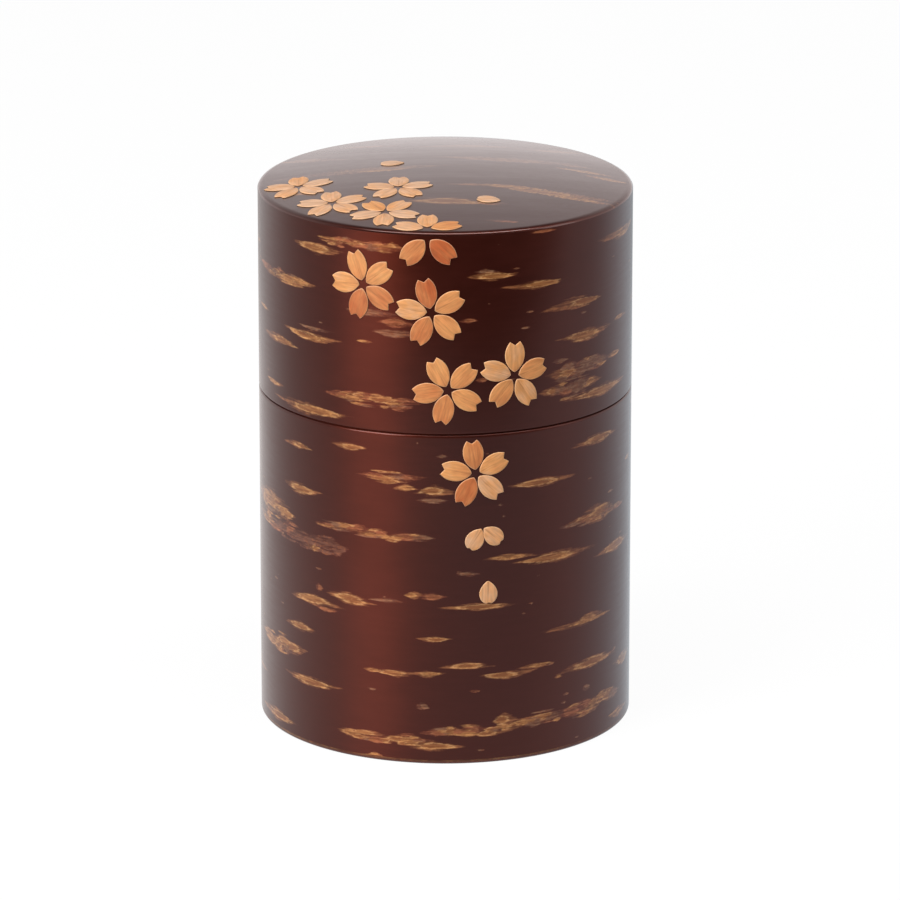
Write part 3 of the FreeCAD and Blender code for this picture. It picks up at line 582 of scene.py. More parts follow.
# a loose petal in such shares: half its width, then its root, widest place and end, its lobe and notch
LOOSE_HALF, LOOSE_ROOT, LOOSE_WIDEST, LOOSE_END = 0.265, 0.058, 0.455, 0.754
LOOSE_LOBE, LOOSE_NOTCH = 0.077, 0.045
EGG_POWER = 0.85


def circle_through(first, second, third):
    """Centre and radius of the circle through three points."""
    chords = 2 * np.array([second - first, third - first])
    squares = np.array([second @ second - first @ first, third @ third - first @ first])
    centre = np.linalg.solve(chords, squares)
    return centre, np.linalg.norm(first - centre)


def mirrored(right_half):
    """Whole outline, anticlockwise, from its right half, which starts and ends on the middle line."""
    return np.concatenate([right_half, right_half[-2:0:-1] * (-1, 1)])


def blossom_outline(reach):
    """Petal of a blossom that points along +Y, with its size from the reach of the blossom."""
    heel, root, widest, tip, notch = np.array([HEEL, ROOT, WIDEST, TIP, NOTCH]) * reach
    centre, radius = circle_through(root, widest, tip)
    start, stop = (np.degrees(np.arctan2(*(place - centre)[::-1])) for place in (root, tip))
    lobe = line(tip, notch, LOBE_POINTS)
    return mirrored(np.concatenate([[heel], arc(centre, radius, start, stop, SIDE_POINTS), lobe[1:]]))


def loose_outline(reach):
    """Loose petal that points along +Y: a parabola from its root, then half an ellipse with a notch.

    Up to the widest place, half its width is the largest half width times (1 - u ** 2) ** EGG_POWER, with
    u = 1 at the root and 0 at the widest place.
    """
    half_width, root, widest, end = np.array([LOOSE_HALF, LOOSE_ROOT, LOOSE_WIDEST, LOOSE_END]) * reach
    lobe, notch = LOOSE_LOBE * reach, (0.0, end - LOOSE_NOTCH * reach)
    u = np.linspace(1, 0, SIDE_POINTS)
    angles = np.linspace(0, np.arccos(lobe / half_width), SIDE_POINTS // 2)
    side = np.stack([half_width * (1 - u ** 2) ** EGG_POWER, widest - u * (widest - root)], axis=-1)
    round_end = np.stack([half_width * np.cos(angles), widest + (end - widest) * np.sin(angles)], axis=-1)
    return mirrored(np.concatenate([side, round_end[1:], line(round_end[-1], notch, LOBE_POINTS)[1:]]))


# how deep a petal goes into the bark, as a share of the proud height, and what the painted edge light and
# shade read there
PETAL_SINK, UNDER_EDGE = -1.2, 1.3
# from the underside to the crown: share of the outline, height as a share of the proud height, and place
# for the painted edge highlight and side shadow, which counts past 1 below the softened edge
PETAL_PROFILE = np.array([
    (1.0, PETAL_SINK, UNDER_EDGE), (1.0, 0.0, UNDER_EDGE), (1.0, 0.4, 1.0), (0.985, 0.65, 0.985),
    (0.955, 0.8, 0.955), (0.9, 0.88, 0.9), (0.75, 0.93, 0.75), (0.55, 0.96, 0.55), (0.35, 0.99, 0.35),
    (0.15, 1.0, 0.15),
])
print("a blossom's petal has", len(blossom_outline(1.0)), "points round it and",
      len(PETAL_PROFILE), "rings")

# %% Laying petals on the wall and on the dome
# a petal's size on its flat pattern, and the whole steps that give each petal a place of its own there
PATTERN_SIZE, PETAL_STEP, INLAY_STEP = 0.98, 3, 2


def petal_grid(outline, middle, direction):
    """Rings of one petal: places turned to its direction, heights over the bark, flat pattern, and place
    for the painted edge highlight and shadow.
    """
    share, height, finish = PETAL_PROFILE.T
    flat = middle + share[:, None, None] * (outline - middle)
    angle = math.radians(direction - 90)
    turn = np.array([[math.cos(angle), math.sin(angle)], [-math.sin(angle), math.cos(angle)]])
    flat = np.concatenate([flat.reshape(-1, 2), [middle, middle]])
    heights = np.concatenate([np.repeat(height, len(outline)), [PETAL_SINK, 1.0]]) * petal_proud
    rims = np.concatenate([np.repeat(finish, len(outline)), [UNDER_EDGE, 0.0]])
    return flat @ turn, heights, flat, rims


def on_wall_at(degrees, height):
    """Place petals on the wall: across follows the tangent, and the depth follows the round wall."""
    angle = math.radians(degrees)

    def place(flat, proud):
        out = np.sqrt((outer_radius + proud) ** 2 - flat[:, 0] ** 2)
        right = out * math.sin(angle) + flat[:, 0] * math.cos(angle)
        back = flat[:, 0] * math.sin(angle) - out * math.cos(angle)
        return np.stack([right, back, height + flat[:, 1]], axis=-1)
    return place


def on_dome_at(degrees, ring):
    """Place petals on the lid's top: straight down on to the dome's sphere."""
    middle = ring * np.array([math.sin(math.radians(degrees)), -math.cos(math.radians(degrees))])

    def place(flat, proud):
        plan = middle + flat
        up = dome_centre + np.sqrt((dome_sphere + proud) ** 2 - (plan ** 2).sum(axis=1))
        return np.concatenate([plan, up[:, None]], axis=1)
    return place


def inlay(name, outline, reach, place, petals, seed, lift):
    """Petals of one inlay as one piece. petals gives each one's direction and how red its wood is.

    lift moves the flat pattern along the petal, so that a loose petal shows no brown root.
    """
    middle = np.array([0.0, outline[:, 1].mean()])
    quads, fans = ring_faces(len(PETAL_PROFILE), len(outline), looped=False)
    count = len(PETAL_PROFILE) * len(outline) + 2
    points, patterns, tones, rims, faces = [], [], [], [], []
    for number, (direction, tone) in enumerate(petals):
        flat, heights, pattern, rim = petal_grid(outline, middle, direction)
        points.append(place(flat, heights))
        own_spot = (seed + PETAL_STEP * number, INLAY_STEP * seed + lift)
        patterns.append(PATTERN_SIZE * pattern / reach + own_spot)
        tones.append(np.full(count, tone))
        rims.append(rim)
        faces += [quads + number * count, fans + number * count]
    values = {"petal_tone": np.concatenate(tones), "petal_rim": np.concatenate(rims)}
    return new_piece(name, np.concatenate(points), faces, values, flat=np.concatenate(patterns))


example = on_wall_at(0.0, seam_height)(np.zeros((1, 2)), petal_proud)
print("a petal's face over the seam, in front:", (example / MM).round(1), "mm")

# %% [markdown]
# ## Where the blossoms lie
# The places repeat the CAD model's, so each piece covers its own node. The second number of a petal
# says how red its wood is, from bone through gold to orange: the maker mixes pale and darker offcuts,
# and the photograph shows which.

# %% Places of the blossoms and loose petals
TOP_REACH = 0.184 * outer_radius
SIDE_REACH = 0.17 * lid_height
BODY_REACH = 0.1014 * seam_height

# degrees round from the front, ring as a share of the radius, petals
TOP_BLOSSOMS = {
    "lid_top_blossom_1": (-76.7, 0.798, [(20, 0.0), (92, 0.2), (164, 0.1), (236, 0.15), (308, 0.05)]),
    "lid_top_blossom_2": (-37.2, 0.411, [(17, 0.0), (89, 0.05), (161, 0.1), (233, 0.1), (305, 0.15)]),
    "lid_top_blossom_3": (-48.9, 0.79, [(21, 0.05), (93, 0.12), (165, 0.0), (237, 0.08), (309, 0.12)]),
    "lid_top_blossom_4": (-24.1, 0.77, [(50, 0.22), (122, 0.35), (194, 0.05), (266, 0.15), (338, 0.0)]),
}
TOP_PETALS = {
    "lid_top_petal_1": (-126.6, 0.26, [(181, 0.0)]),
    "lid_top_petal_2": (29.3, 0.615, [(170, 0.0)]),
}
EDGE_TOP_PETALS = [(19, 0.5), (89, 0.22), (160, 0.12)]
EDGE_SIDE_PETALS = [(228, 0.7), (317, 1.0)]
EDGE_INSET, EDGE_DROP = 0.263, 0.122
EDGE_TOP_DEGREES, EDGE_SIDE_DEGREES = -5.7, -5.4
# shares of the lid's height round from the front and up from the seam, petals
SIDE_BLOSSOMS = {
    "lid_side_blossom_1": (-0.4012, 0.725,
                           [(37, 0.45), (108, 0.5), (181, 0.35), (256, 0.85), (327, 0.75)]),
    "lid_side_blossom_2": (-0.0667, 0.609,
                           [(30, 0.5), (103, 0.9), (173, 0.25), (244, 0.75), (317, 0.5)]),
    "lid_side_blossom_3": (0.0128, 0.226,
                           [(43, 0.5), (117, 0.45), (188, 0.65), (258, 0.65), (331, 0.45)]),
    "lid_side_blossom_4": (0.3363, 0.279,
                           [(14, 0.5), (89, 0.35), (161, 0.28), (231, 0.5), (304, 0.27)]),
}
# outline, shares of the body's height round from the front and down from the seam, petals
BODY_INLAYS = {
    "body_blossom": (blossom_outline, 0.0879, 0.1157,
                     [(26, 0.4), (97, 0.65), (171, 0.45), (244, 0.85), (315, 0.2)]),
    "body_petal_pair": (loose_outline, 0.1074, 0.2777, [(240, 0.22), (319, 0.2)]),
    "body_petal": (loose_outline, 0.1239, 0.4361, [(272, 0.2)]),
}
print(f"blossoms reach {TOP_REACH / MM:.1f} mm on the top, {SIDE_REACH / MM:.1f} mm on the lid's side",
      f"and {BODY_REACH / MM:.1f} mm on the body")

# %% Making the inlays
LOOSE_LIFT = 0.2


def degrees_round(share, height):
    """Degrees round the axis that a share of a height makes along the wall."""
    return math.degrees(share * height / outer_radius)


inlays = []
for outline, group in ((blossom_outline, TOP_BLOSSOMS), (loose_outline, TOP_PETALS)):
    for name, (degrees, ring, petals) in group.items():
        inlays.append((name, outline, TOP_REACH, on_dome_at(degrees, ring * outer_radius), petals, "lid"))
edge_top = on_dome_at(EDGE_TOP_DEGREES, outer_radius - EDGE_INSET * TOP_REACH)
edge_side = on_wall_at(EDGE_SIDE_DEGREES, rim_height - EDGE_DROP * SIDE_REACH)
inlays.append(("lid_edge_blossom_top", blossom_outline, TOP_REACH, edge_top, EDGE_TOP_PETALS, "lid"))
inlays.append(("lid_edge_blossom_side", blossom_outline, SIDE_REACH, edge_side, EDGE_SIDE_PETALS, "lid"))
for name, (across, up, petals) in SIDE_BLOSSOMS.items():
    spot = on_wall_at(degrees_round(across, lid_height), seam_height + up * lid_height)
    inlays.append((name, blossom_outline, SIDE_REACH, spot, petals, "lid"))
for name, (outline, across, down, petals) in BODY_INLAYS.items():
    spot = on_wall_at(degrees_round(across, seam_height), (1 - down) * seam_height)
    inlays.append((name, outline, BODY_REACH, spot, petals, "caddy_body"))

petal_pieces = []
for seed, (name, outline, reach, spot, petals, body) in enumerate(inlays):
    lift = LOOSE_LIFT if outline is loose_outline else 0.0
    piece = inlay(f"{name}_petals", outline(reach), reach, spot, petals, seed, lift)
    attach(piece, body)
    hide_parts(name)
    petal_pieces.append(piece)
print(len(petal_pieces), "inlays with", sum(len(petals) for *_, petals, _ in inlays), "petals")

# %% [markdown]
# ## Node helpers
# Materials are graphs of nodes. A few small functions make them readable: each adds one node and hands
# back its output, so a graph is written as nested steps, from the inside out. A ramp is named by four
# numbers, or two where it runs from 0 to 1: where it starts and ends, and what it gives there.

# %% Small functions that add one shader node
# places of the colour sockets on a Mix node, which has a set of sockets for each kind of data
MIX_FIRST, MIX_SECOND, MIX_RESULT = 6, 7, 2


def feed(tree, socket, source):
    """Link an output to a socket, or set the socket's own value."""
    if isinstance(source, bpy.types.NodeSocket):
        tree.links.new(source, socket)
    else:
        socket.default_value = source


def wire(tree, sockets, **sources):
    """Feed several sockets by name, with _ for a space."""
    for title, source in sources.items():
        feed(tree, sockets[title.replace("_", " ")], source)


def arithmetic(tree, operation, *sources, clamp=False):
    """One step of arithmetic on one, two or three numbers."""
    step = tree.nodes.new("ShaderNodeMath")
    step.operation = operation
    step.use_clamp = clamp
    for socket, source in zip(step.inputs, sources):
        feed(tree, socket, source)
    return step.outputs[0]


def ramp_between(tree, value, low, high, start=0.0, stop=1.0):
    """Smooth rise from start to stop while a value goes from low to high."""
    step = tree.nodes.new("ShaderNodeMapRange")
    step.interpolation_type = "SMOOTHSTEP"
    for socket, source in zip(step.inputs, (value, low, high, start, stop)):
        feed(tree, socket, source)
    return step.outputs[0]


def blended(tree, share, first, second, how="MIX"):
    """Mix of two colours by a share."""
    step = tree.nodes.new("ShaderNodeMix")
    step.data_type = "RGBA"
    step.blend_type = how
    feed(tree, step.inputs[0], share)
    feed(tree, step.inputs[MIX_FIRST], first)
    feed(tree, step.inputs[MIX_SECOND], second)
    return step.outputs[MIX_RESULT]


def cloud(tree, vector, detail=2.0, roughness=0.5, scale=1.0):
    """Soft noise between 0 and 1."""
    step = tree.nodes.new("ShaderNodeTexNoise")
    wire(tree, step.inputs, Vector=vector, Scale=scale, Detail=detail, Roughness=roughness)
    return step.outputs["Fac"]


def stretched(tree, vector, scale):
    """Vector scaled along each axis."""
    step = tree.nodes.new("ShaderNodeMapping")
    wire(tree, step.inputs, Vector=vector, Scale=scale)
    return step.outputs["Vector"]


def steps_in(tree):
    """The five steps above with the tree filled in: arithmetic, ramp, blend, noise and stretch."""
    return [partial(step, tree) for step in (arithmetic, ramp_between, blended, cloud, stretched)]


def parts(tree, vector):
    """The x, y and z of a vector, each as a number."""
    step = tree.nodes.new("ShaderNodeSeparateXYZ")
    feed(tree, step.inputs[0], vector)
    return list(step.outputs)


def own_place(tree):
    """Place on the piece, in metres."""
    return tree.nodes.new("ShaderNodeTexCoord").outputs["Object"]


def own_value(tree, title, output="Fac"):
    """A number or colour that the piece carries at its points."""
    step = tree.nodes.new("ShaderNodeAttribute")
    step.attribute_name = title
    return step.outputs[output]


def bumped(tree, height, strength, distance):
    """Normal from a height."""
    step = tree.nodes.new("ShaderNodeBump")
    wire(tree, step.inputs, Height=height, Strength=strength, Distance=distance)
    return step.outputs["Normal"]


print("steps of a graph:", ", ".join(step.func.__name__ for step in steps_in(None)))

# %% Groups and materials
SOCKETS = {"colour": "NodeSocketColor", "number": "NodeSocketFloat", "vector": "NodeSocketVector"}


def new_group(name, inputs, outputs):
    """Empty node group with named sockets: the tree, its inputs by name and its output node."""
    tree = bpy.data.node_groups.new(name, "ShaderNodeTree")
    for title, kind in inputs.items():
        tree.interface.new_socket(title, in_out="INPUT", socket_type=SOCKETS[kind])
    for title, kind in outputs.items():
        tree.interface.new_socket(title, in_out="OUTPUT", socket_type=SOCKETS[kind])
    entry, leave = tree.nodes.new("NodeGroupInput"), tree.nodes.new("NodeGroupOutput")
    return tree, entry.outputs, leave.inputs


def grouped(tree, group, **sources):
    """Place a node group in a material and feed its inputs. Gives its outputs."""
    step = tree.nodes.new("ShaderNodeGroup")
    step.node_tree = group
    wire(tree, step.inputs, **sources)
    return step.outputs


def new_material(name, **constants):
    """Material with a Principled shader whose constant sockets are set by name."""
    material = bpy.data.materials.new(name)
    material.use_nodes = True
    shader = material.node_tree.nodes["Principled BSDF"]
    wire(material.node_tree, shader.inputs, **constants)
    return material, material.node_tree, shader.inputs


print("kinds of socket:", ", ".join(SOCKETS))

# %% [markdown]
# ## Finish of the bark
# Polished bark is deep red brown with fine level fibres, and its gloss has two layers. The fibres give
# a broad red glow, as satin does, which is a tinted specular. The wax over them mirrors the room
# without colour, mostly at glancing angles, which is a thin coat. Ground and streaks are node groups,
# because the walls and the discs use them with the fibres running different ways.

# %% Ground of the bark
# how fast each noise runs along x, y and z
FIBRE_RUN, BROAD_RUN = (150, 150, 1100), (35, 35, 60)
BARK_DEEP, BARK_WARM = (0.005, 0.0010, 0.0010, 1), (0.010, 0.0020, 0.0018, 1)
# ramps
FIBRE_SHADE = (0.35, 0.75, 0.78, 1.35)
FIBRE_SATIN, BROAD_SATIN = (0.3, 0.7, 0.38, 0.42), (0.3, 0.7, -0.03, 0.03)

ground_group, ground_in, ground_out = new_group(
    "bark_ground", {"Vector": "vector"}, {"Color": "colour", "Roughness": "number", "Fibre": "number"})
calc, ramp, mix, noise, stretch = steps_in(ground_group)
fibre = noise(stretch(ground_in["Vector"], FIBRE_RUN), detail=4.0, roughness=0.6)
broad = noise(stretch(ground_in["Vector"], BROAD_RUN))
lit = mix(1.0, mix(broad, BARK_DEEP, BARK_WARM), ramp(fibre, *FIBRE_SHADE), "MULTIPLY")
satin = calc("ADD", ramp(fibre, *FIBRE_SATIN), ramp(broad, *BROAD_SATIN))
wire(ground_group, ground_out, Color=lit, Roughness=satin, Fibre=fibre)
print("bark ground:", len(ground_group.nodes), "nodes")

# %% Cork of the streaks
TAIL_TINT = (0.44, 0.39, 0.46, 1)
RUST_FLECK = (0.19, 0.06, 0.022, 1)
RIM_GOLD = (0.50, 0.285, 0.125, 1)
EYE_BROWN = (0.15, 0.055, 0.018, 1)
THREAD_RUN, SPECKLE_RUN, FRECKLE_RUN = (130, 130, 2300), (650, 650, 2000), (1300, 1300, 2600)
# how far each noise tears a lens's outline, what is taken off again, and how much more the core is torn
TEAR_THREADS, TEAR_SPECKLE, TEAR_FRECKLE, TEAR_BACK, TEAR_CORE = 0.9, 0.3, 0.2, -0.7, 1.9
MOTTLE_THREADS, MOTTLE_SPECKLE = 0.55, 0.45
PIT_SPECKLE, PIT_BACK = -1.6, 0.8
# ramps
CORK_EDGE, CORE_EDGE, RUST_SHARE = (-0.08, 0.34), (-0.5, 0.35), (0.5, 0.66, 0.0, 0.6)
SIDE_SHADE, MOTTLE_SHADE = (-0.5, 0.5, 1.12, 0.85), (0.37, 0.68, 0.36, 1.52)
RIM_RISE, RIM_FALL, RIM_BREAKS = (-0.15, 0.15), (0.2, 0.55, 1.0, 0.0), (0.35, 0.6, 0.0, 0.6)
PIT_SHARE, PIT_THREADS = (0.35, 0.75, 0.0, 0.9), (0.45, 0.7, 0.0, 0.7)

streak_group, streak_in, streak_out = new_group(
    "bark_streaks",
    {"Vector": "vector", "Depth": "number", "Core": "number", "Side": "number", "Eye": "number",
     "Cork": "colour", "Ground": "colour"},
    {"Color": "colour", "Mask": "number", "Grain": "number"})
calc, ramp, mix, noise, stretch = steps_in(streak_group)
threads = noise(stretch(streak_in["Vector"], THREAD_RUN), detail=3.0, roughness=0.55)
speckle = noise(stretch(streak_in["Vector"], SPECKLE_RUN), detail=3.0, roughness=0.6)
freckle = noise(stretch(streak_in["Vector"], FRECKLE_RUN), roughness=0.6)
fine_tear = calc("MULTIPLY_ADD", speckle, TEAR_SPECKLE, calc("MULTIPLY", freckle, TEAR_FRECKLE))
tear = calc("ADD", calc("MULTIPLY_ADD", threads, TEAR_THREADS, TEAR_BACK), fine_tear)
cork_mask = ramp(calc("ADD", streak_in["Depth"], tear), *CORK_EDGE)
inner = calc("MULTIPLY_ADD", tear, TEAR_CORE, streak_in["Core"])
tails = mix(1.0, streak_in["Cork"], TAIL_TINT, "MULTIPLY")
cork = mix(ramp(inner, *CORE_EDGE), tails, streak_in["Cork"])
flecked_cork = mix(ramp(freckle, *RUST_SHARE), cork, RUST_FLECK)
mottle = calc("MULTIPLY_ADD", threads, MOTTLE_THREADS, calc("MULTIPLY", speckle, MOTTLE_SPECKLE))
shade = calc("MULTIPLY", ramp(streak_in["Side"], *SIDE_SHADE), ramp(mottle, *MOTTLE_SHADE))
lit_cork = mix(1.0, flecked_cork, shade, "MULTIPLY")
rim_line = calc("MULTIPLY", ramp(inner, *RIM_RISE), ramp(inner, *RIM_FALL))
broken = calc("MULTIPLY", rim_line, ramp(speckle, *RIM_BREAKS))
rimmed = mix(calc("MULTIPLY", broken, streak_in["Eye"]), lit_cork, RIM_GOLD)
pit = calc("ADD", inner, calc("MULTIPLY_ADD", speckle, PIT_SPECKLE, PIT_BACK))
eye_mask = calc("MULTIPLY", ramp(pit, *PIT_SHARE), streak_in["Eye"])
eye = mix(ramp(threads, *PIT_THREADS), EYE_BROWN, streak_in["Cork"])
streaked = mix(cork_mask, streak_in["Ground"], mix(eye_mask, rimmed, eye))
wire(streak_group, streak_out, Color=streaked, Mask=cork_mask, Grain=speckle)
print("bark streaks:", len(streak_group.nodes), "nodes")

# %% Bark materials
FIBRE_GLOW = (1.0, 0.16, 0.07, 1.0)
# near black of an unpolished cut edge, which also stands as painted shade in the seam
CUT_EDGE_AND_SEAM_SHADE, CUT_ROUGHER = (0.004, 0.001, 0.001, 1.0), 0.5
FIBRE_RELIEF, RELIEF_STRENGTH, RELIEF_DEPTH = 0.02, 0.25, 0.06 * MM


def bark_material(name, squeeze, spread, wax):
    """Polished bark. squeeze scales the place so that the fibres run along the axes left at 1.

    spread says how far the fibres draw their glow out across themselves, which is up and down a wall.
    wax is the refractive index of the coat.
    """
    material, tree, shader = new_material(
        name, Specular_IOR_Level=1.0, Specular_Tint=FIBRE_GLOW, IOR=1.5,
        Anisotropic=spread, Anisotropic_Rotation=0.25, Coat_Roughness=0.14, Coat_IOR=wax)
    calc, _, mix, _, stretch = steps_in(tree)
    place = stretch(own_place(tree), squeeze)
    ground = grouped(tree, ground_group, Vector=place)
    streaks = grouped(
        tree, streak_group, Vector=place, Depth=own_value(tree, "streak_depth"),
        Core=own_value(tree, "streak_core"), Side=own_value(tree, "streak_side"),
        Eye=own_value(tree, "streak_eye"), Cork=own_value(tree, "streak_colour", "Color"),
        Ground=ground["Color"])
    # unpolished cut edge, with the seam's shade painted in
    cut = own_value(tree, "cut_edge_and_seam_shade")
    relief = calc("ADD", calc("MULTIPLY", streaks["Mask"], streaks["Grain"]),
                  calc("MULTIPLY", ground["Fibre"], FIBRE_RELIEF))
    wire(tree, shader,
         Base_Color=mix(cut, streaks["Color"], CUT_EDGE_AND_SEAM_SHADE),
         Roughness=calc("MULTIPLY_ADD", cut, CUT_ROUGHER, ground["Roughness"]),
         Coat_Weight=calc("SUBTRACT", 1.0, cut),
         Normal=bumped(tree, relief, RELIEF_STRENGTH, RELIEF_DEPTH))
    return material


bark_round = bark_material("cherry_bark_round", squeeze=(1, 1, 1), spread=0.68, wax=1.33)
bark_flat = bark_material("cherry_bark_flat", squeeze=(1, 7, 7), spread=0.0, wax=1.5)
for material, skins in (
    (bark_round, (body_skin, lid_skin)),
    (bark_flat, (top_skin, base_skin, inner_skin)),
):
    for piece in skins:
        piece.data.materials.append(material)
    print(material.name, "on", ", ".join(piece.name for piece in skins))

# %% [markdown]
# ## Finish of the petals
# The petals are thin wood with the grain along each petal, a midrib, a painted highlight along the
# softened edge, a painted shadow line on the low sides, and a colour from bone to orange. The grain
# follows the petal, not the caddy, so it reads the petal's own flat pattern. Each petal's pattern sits on
# whole numbers of its own, and what is left after taking them away is the place across and along the
# petal.

# %% Blossom wood
# how red a petal is, and its wood's colour then
PETAL_WOODS = (
    (0.0, (0.62, 0.37, 0.225, 1)),
    (0.35, (0.65, 0.285, 0.093, 1)),
    (1.0, (0.42, 0.092, 0.02, 1)),
)
RIB_BROWN, ROOT_BROWN = (0.30, 0.10, 0.03, 1), (0.40, 0.14, 0.045, 1)
# pale painted highlight along a petal's softened edge, and painted shadow on its low sides
PAINTED_EDGE_HIGHLIGHT, PAINTED_SIDE_SHADOW = (0.84, 0.55, 0.32, 1), (0.05, 0.016, 0.008, 1)
GRAIN_RUN, BLUSH_RUN = (13, 1.5, 1), (3.4, 2.0, 1)
# middle of a noise, how far the blush changes the redness, and how far the midrib wanders
NOISE_MIDDLE, BLUSH_REACH, RIB_WANDER = 0.5, 0.65, 0.06
# ramps
GRAIN_SHADE = (0.3, 0.7, 0.8, 1.13)
RIB_ACROSS, RIB_ALONG = (0.004, 0.022, 0.4, 0.0), (0.45, 0.8, 1.0, 0.0)
ROOT_SHARE, EDGE_HIGHLIGHT_SHARE, SIDE_SHADOW_SHARE = (0.1, 0.34, 0.35, 0.0), (0.93, 0.985, 0.0, 0.35), (1.03, 1.15)
GRAIN_STRENGTH, GRAIN_DEPTH = 0.2, 0.05 * MM

blossom_wood, tree, shader = new_material(
    "blossom_wood", Roughness=0.55, Specular_IOR_Level=0.3, Coat_Weight=0.25, Coat_Roughness=0.3)
calc, ramp, mix, noise, stretch = steps_in(tree)
pattern_map = tree.nodes.new("ShaderNodeUVMap")
pattern_map.uv_map = "flat_pattern"
pattern = pattern_map.outputs["UV"]
pattern_across, pattern_along, _ = parts(tree, pattern)
grain = noise(stretch(pattern, GRAIN_RUN), detail=4.0, roughness=0.62)
blush = calc("SUBTRACT", noise(stretch(pattern, BLUSH_RUN)), NOISE_MIDDLE)
tone = calc("ADD", own_value(tree, "petal_tone"), calc("MULTIPLY", blush, BLUSH_REACH), clamp=True)
woods = tree.nodes.new("ShaderNodeValToRGB")
woods.color_ramp.elements.new(PETAL_WOODS[1][0])
for stop_at, (redness, wood_colour) in zip(woods.color_ramp.elements, PETAL_WOODS):
    stop_at.position = redness
    stop_at.color = wood_colour
tree.links.new(tone, woods.inputs[0])
grained = mix(1.0, woods.outputs["Color"], ramp(grain, *GRAIN_SHADE), "MULTIPLY")
off_middle = calc("ABSOLUTE", calc("SUBTRACT", pattern_across, calc("ROUND", pattern_across)))
wander = calc("MULTIPLY", calc("SUBTRACT", grain, NOISE_MIDDLE), RIB_WANDER)
along = calc("FRACT", pattern_along)
rib_across = ramp(calc("ADD", off_middle, wander), *RIB_ACROSS)
ribbed = mix(calc("MULTIPLY", rib_across, ramp(along, *RIB_ALONG)), grained, RIB_BROWN)
rooted = mix(ramp(along, *ROOT_SHARE), ribbed, ROOT_BROWN)
rim = own_value(tree, "petal_rim")
# painted highlight along the softened edge
edge_highlighted = mix(ramp(rim, *EDGE_HIGHLIGHT_SHARE), rooted, PAINTED_EDGE_HIGHLIGHT)
# painted shadow line on the petal's low sides
side_shadowed = mix(ramp(rim, *SIDE_SHADOW_SHARE), edge_highlighted, PAINTED_SIDE_SHADOW)
wire(tree, shader, Base_Color=side_shadowed, Normal=bumped(tree, grain, GRAIN_STRENGTH, GRAIN_DEPTH))
for piece in petal_pieces:
    piece.data.materials.append(blossom_wood)
print("blossom wood on", len(petal_pieces), "inlays")

# %% [markdown]
# ## Plain wood inside
# Under the bark are rolled veneer tubes and turned boards, and a knob of darker wood. They show when
# the lids are lifted. All three take their colour from one grain group: fine lines that run along the
# axis that is squeezed least, over slow changes of tone.

# %% Wood grain group
SLOW_RUN, LINE_SHARE, SLOW_SHARE = (0.12, 0.12, 0.12), 0.7, 0.3
# ramps
PALE_SHARE, WOOD_SATIN = (0.35, 0.65), (0.3, 0.7, 0.5, 0.62)

wood_group, wood_in, wood_out = new_group(
    "wood_grain", {"Vector": "vector", "Pale": "colour", "Deep": "colour"},
    {"Color": "colour", "Grain": "number", "Roughness": "number"})
calc, ramp, mix, noise, stretch = steps_in(wood_group)
lines = noise(wood_in["Vector"], detail=5.0, roughness=0.6)
slow = noise(stretch(wood_in["Vector"], SLOW_RUN))
mixed = calc("ADD", calc("MULTIPLY", lines, LINE_SHARE), calc("MULTIPLY", slow, SLOW_SHARE))
grained = mix(ramp(mixed, *PALE_SHARE), wood_in["Deep"], wood_in["Pale"])
wire(wood_group, wood_out, Color=grained, Grain=lines, Roughness=ramp(lines, *WOOD_SATIN))
print("wood grain:", len(wood_group.nodes), "nodes")

# %% Woods of the inside
LINE_STRENGTH, LINE_DEPTH = 0.15, 0.1 * MM


def wood_material(name, squeeze, pale, deep, coat):
    """Wood with its grain along the axis that is squeezed least."""
    material, tree, shader = new_material(
        name, Specular_IOR_Level=0.4, Coat_Weight=coat, Coat_Roughness=0.2)
    place = stretched(tree, own_place(tree), squeeze)
    wood = grouped(tree, wood_group, Vector=place, Pale=pale, Deep=deep)
    wire(tree, shader, Base_Color=wood["Color"], Roughness=wood["Roughness"],
         Normal=bumped(tree, wood["Grain"], LINE_STRENGTH, LINE_DEPTH))
    return material


veneer = wood_material("rolled_veneer", squeeze=(900, 900, 60), coat=0.15,
                       pale=(0.50, 0.31, 0.155, 1), deep=(0.33, 0.18, 0.08, 1))
board = wood_material("turned_board", squeeze=(70, 900, 900), coat=0.1,
                      pale=(0.55, 0.36, 0.19, 1), deep=(0.38, 0.22, 0.10, 1))
knob = wood_material("knob_wood", squeeze=(700, 700, 80), coat=0.2,
                     pale=(0.21, 0.085, 0.04, 1), deep=(0.10, 0.036, 0.018, 1))
INSIDE = {
    veneer: ("body_core", "inner_sleeve", "floor_lining", "lid_core", "inner_lid_ring"),
    board: ("base_board", "lid_board", "inner_lid_board"),
    knob: ("inner_lid_knob",),
}
for material, names in INSIDE.items():
    for name in names:
        cad_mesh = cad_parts[name].data
        cad_mesh.materials.clear()
        cad_mesh.materials.append(material)
    print(material.name, "on", ", ".join(names))

# %% [markdown]
# ## Floor and room
# The photograph has a white ground that runs into a white room. More light could give that, but it would
# bleach the bark. So the floor glows a little, for the camera alone, and still takes the caddy's soft
# shadow. Mirrors see a pool of light on the floor instead, bright near the caddy, warm on its left and
# cool on its right, because that is what the polished walls show along their edges. The room, too, is
# dimmer in mirrors, in front and overhead.

# %% White floor
PLAIN_WHITE = (1, 1, 1, 1)
FLOOR_HALF = 3.0
FLOOR_GLOW, FLOOR_WHITE = 0.9, 1.05
PAPER_SCALE, PAPER_GREY, PAPER_PALE = 40.0, (0.58, 0.58, 0.59, 1), (0.62, 0.62, 0.62, 1)
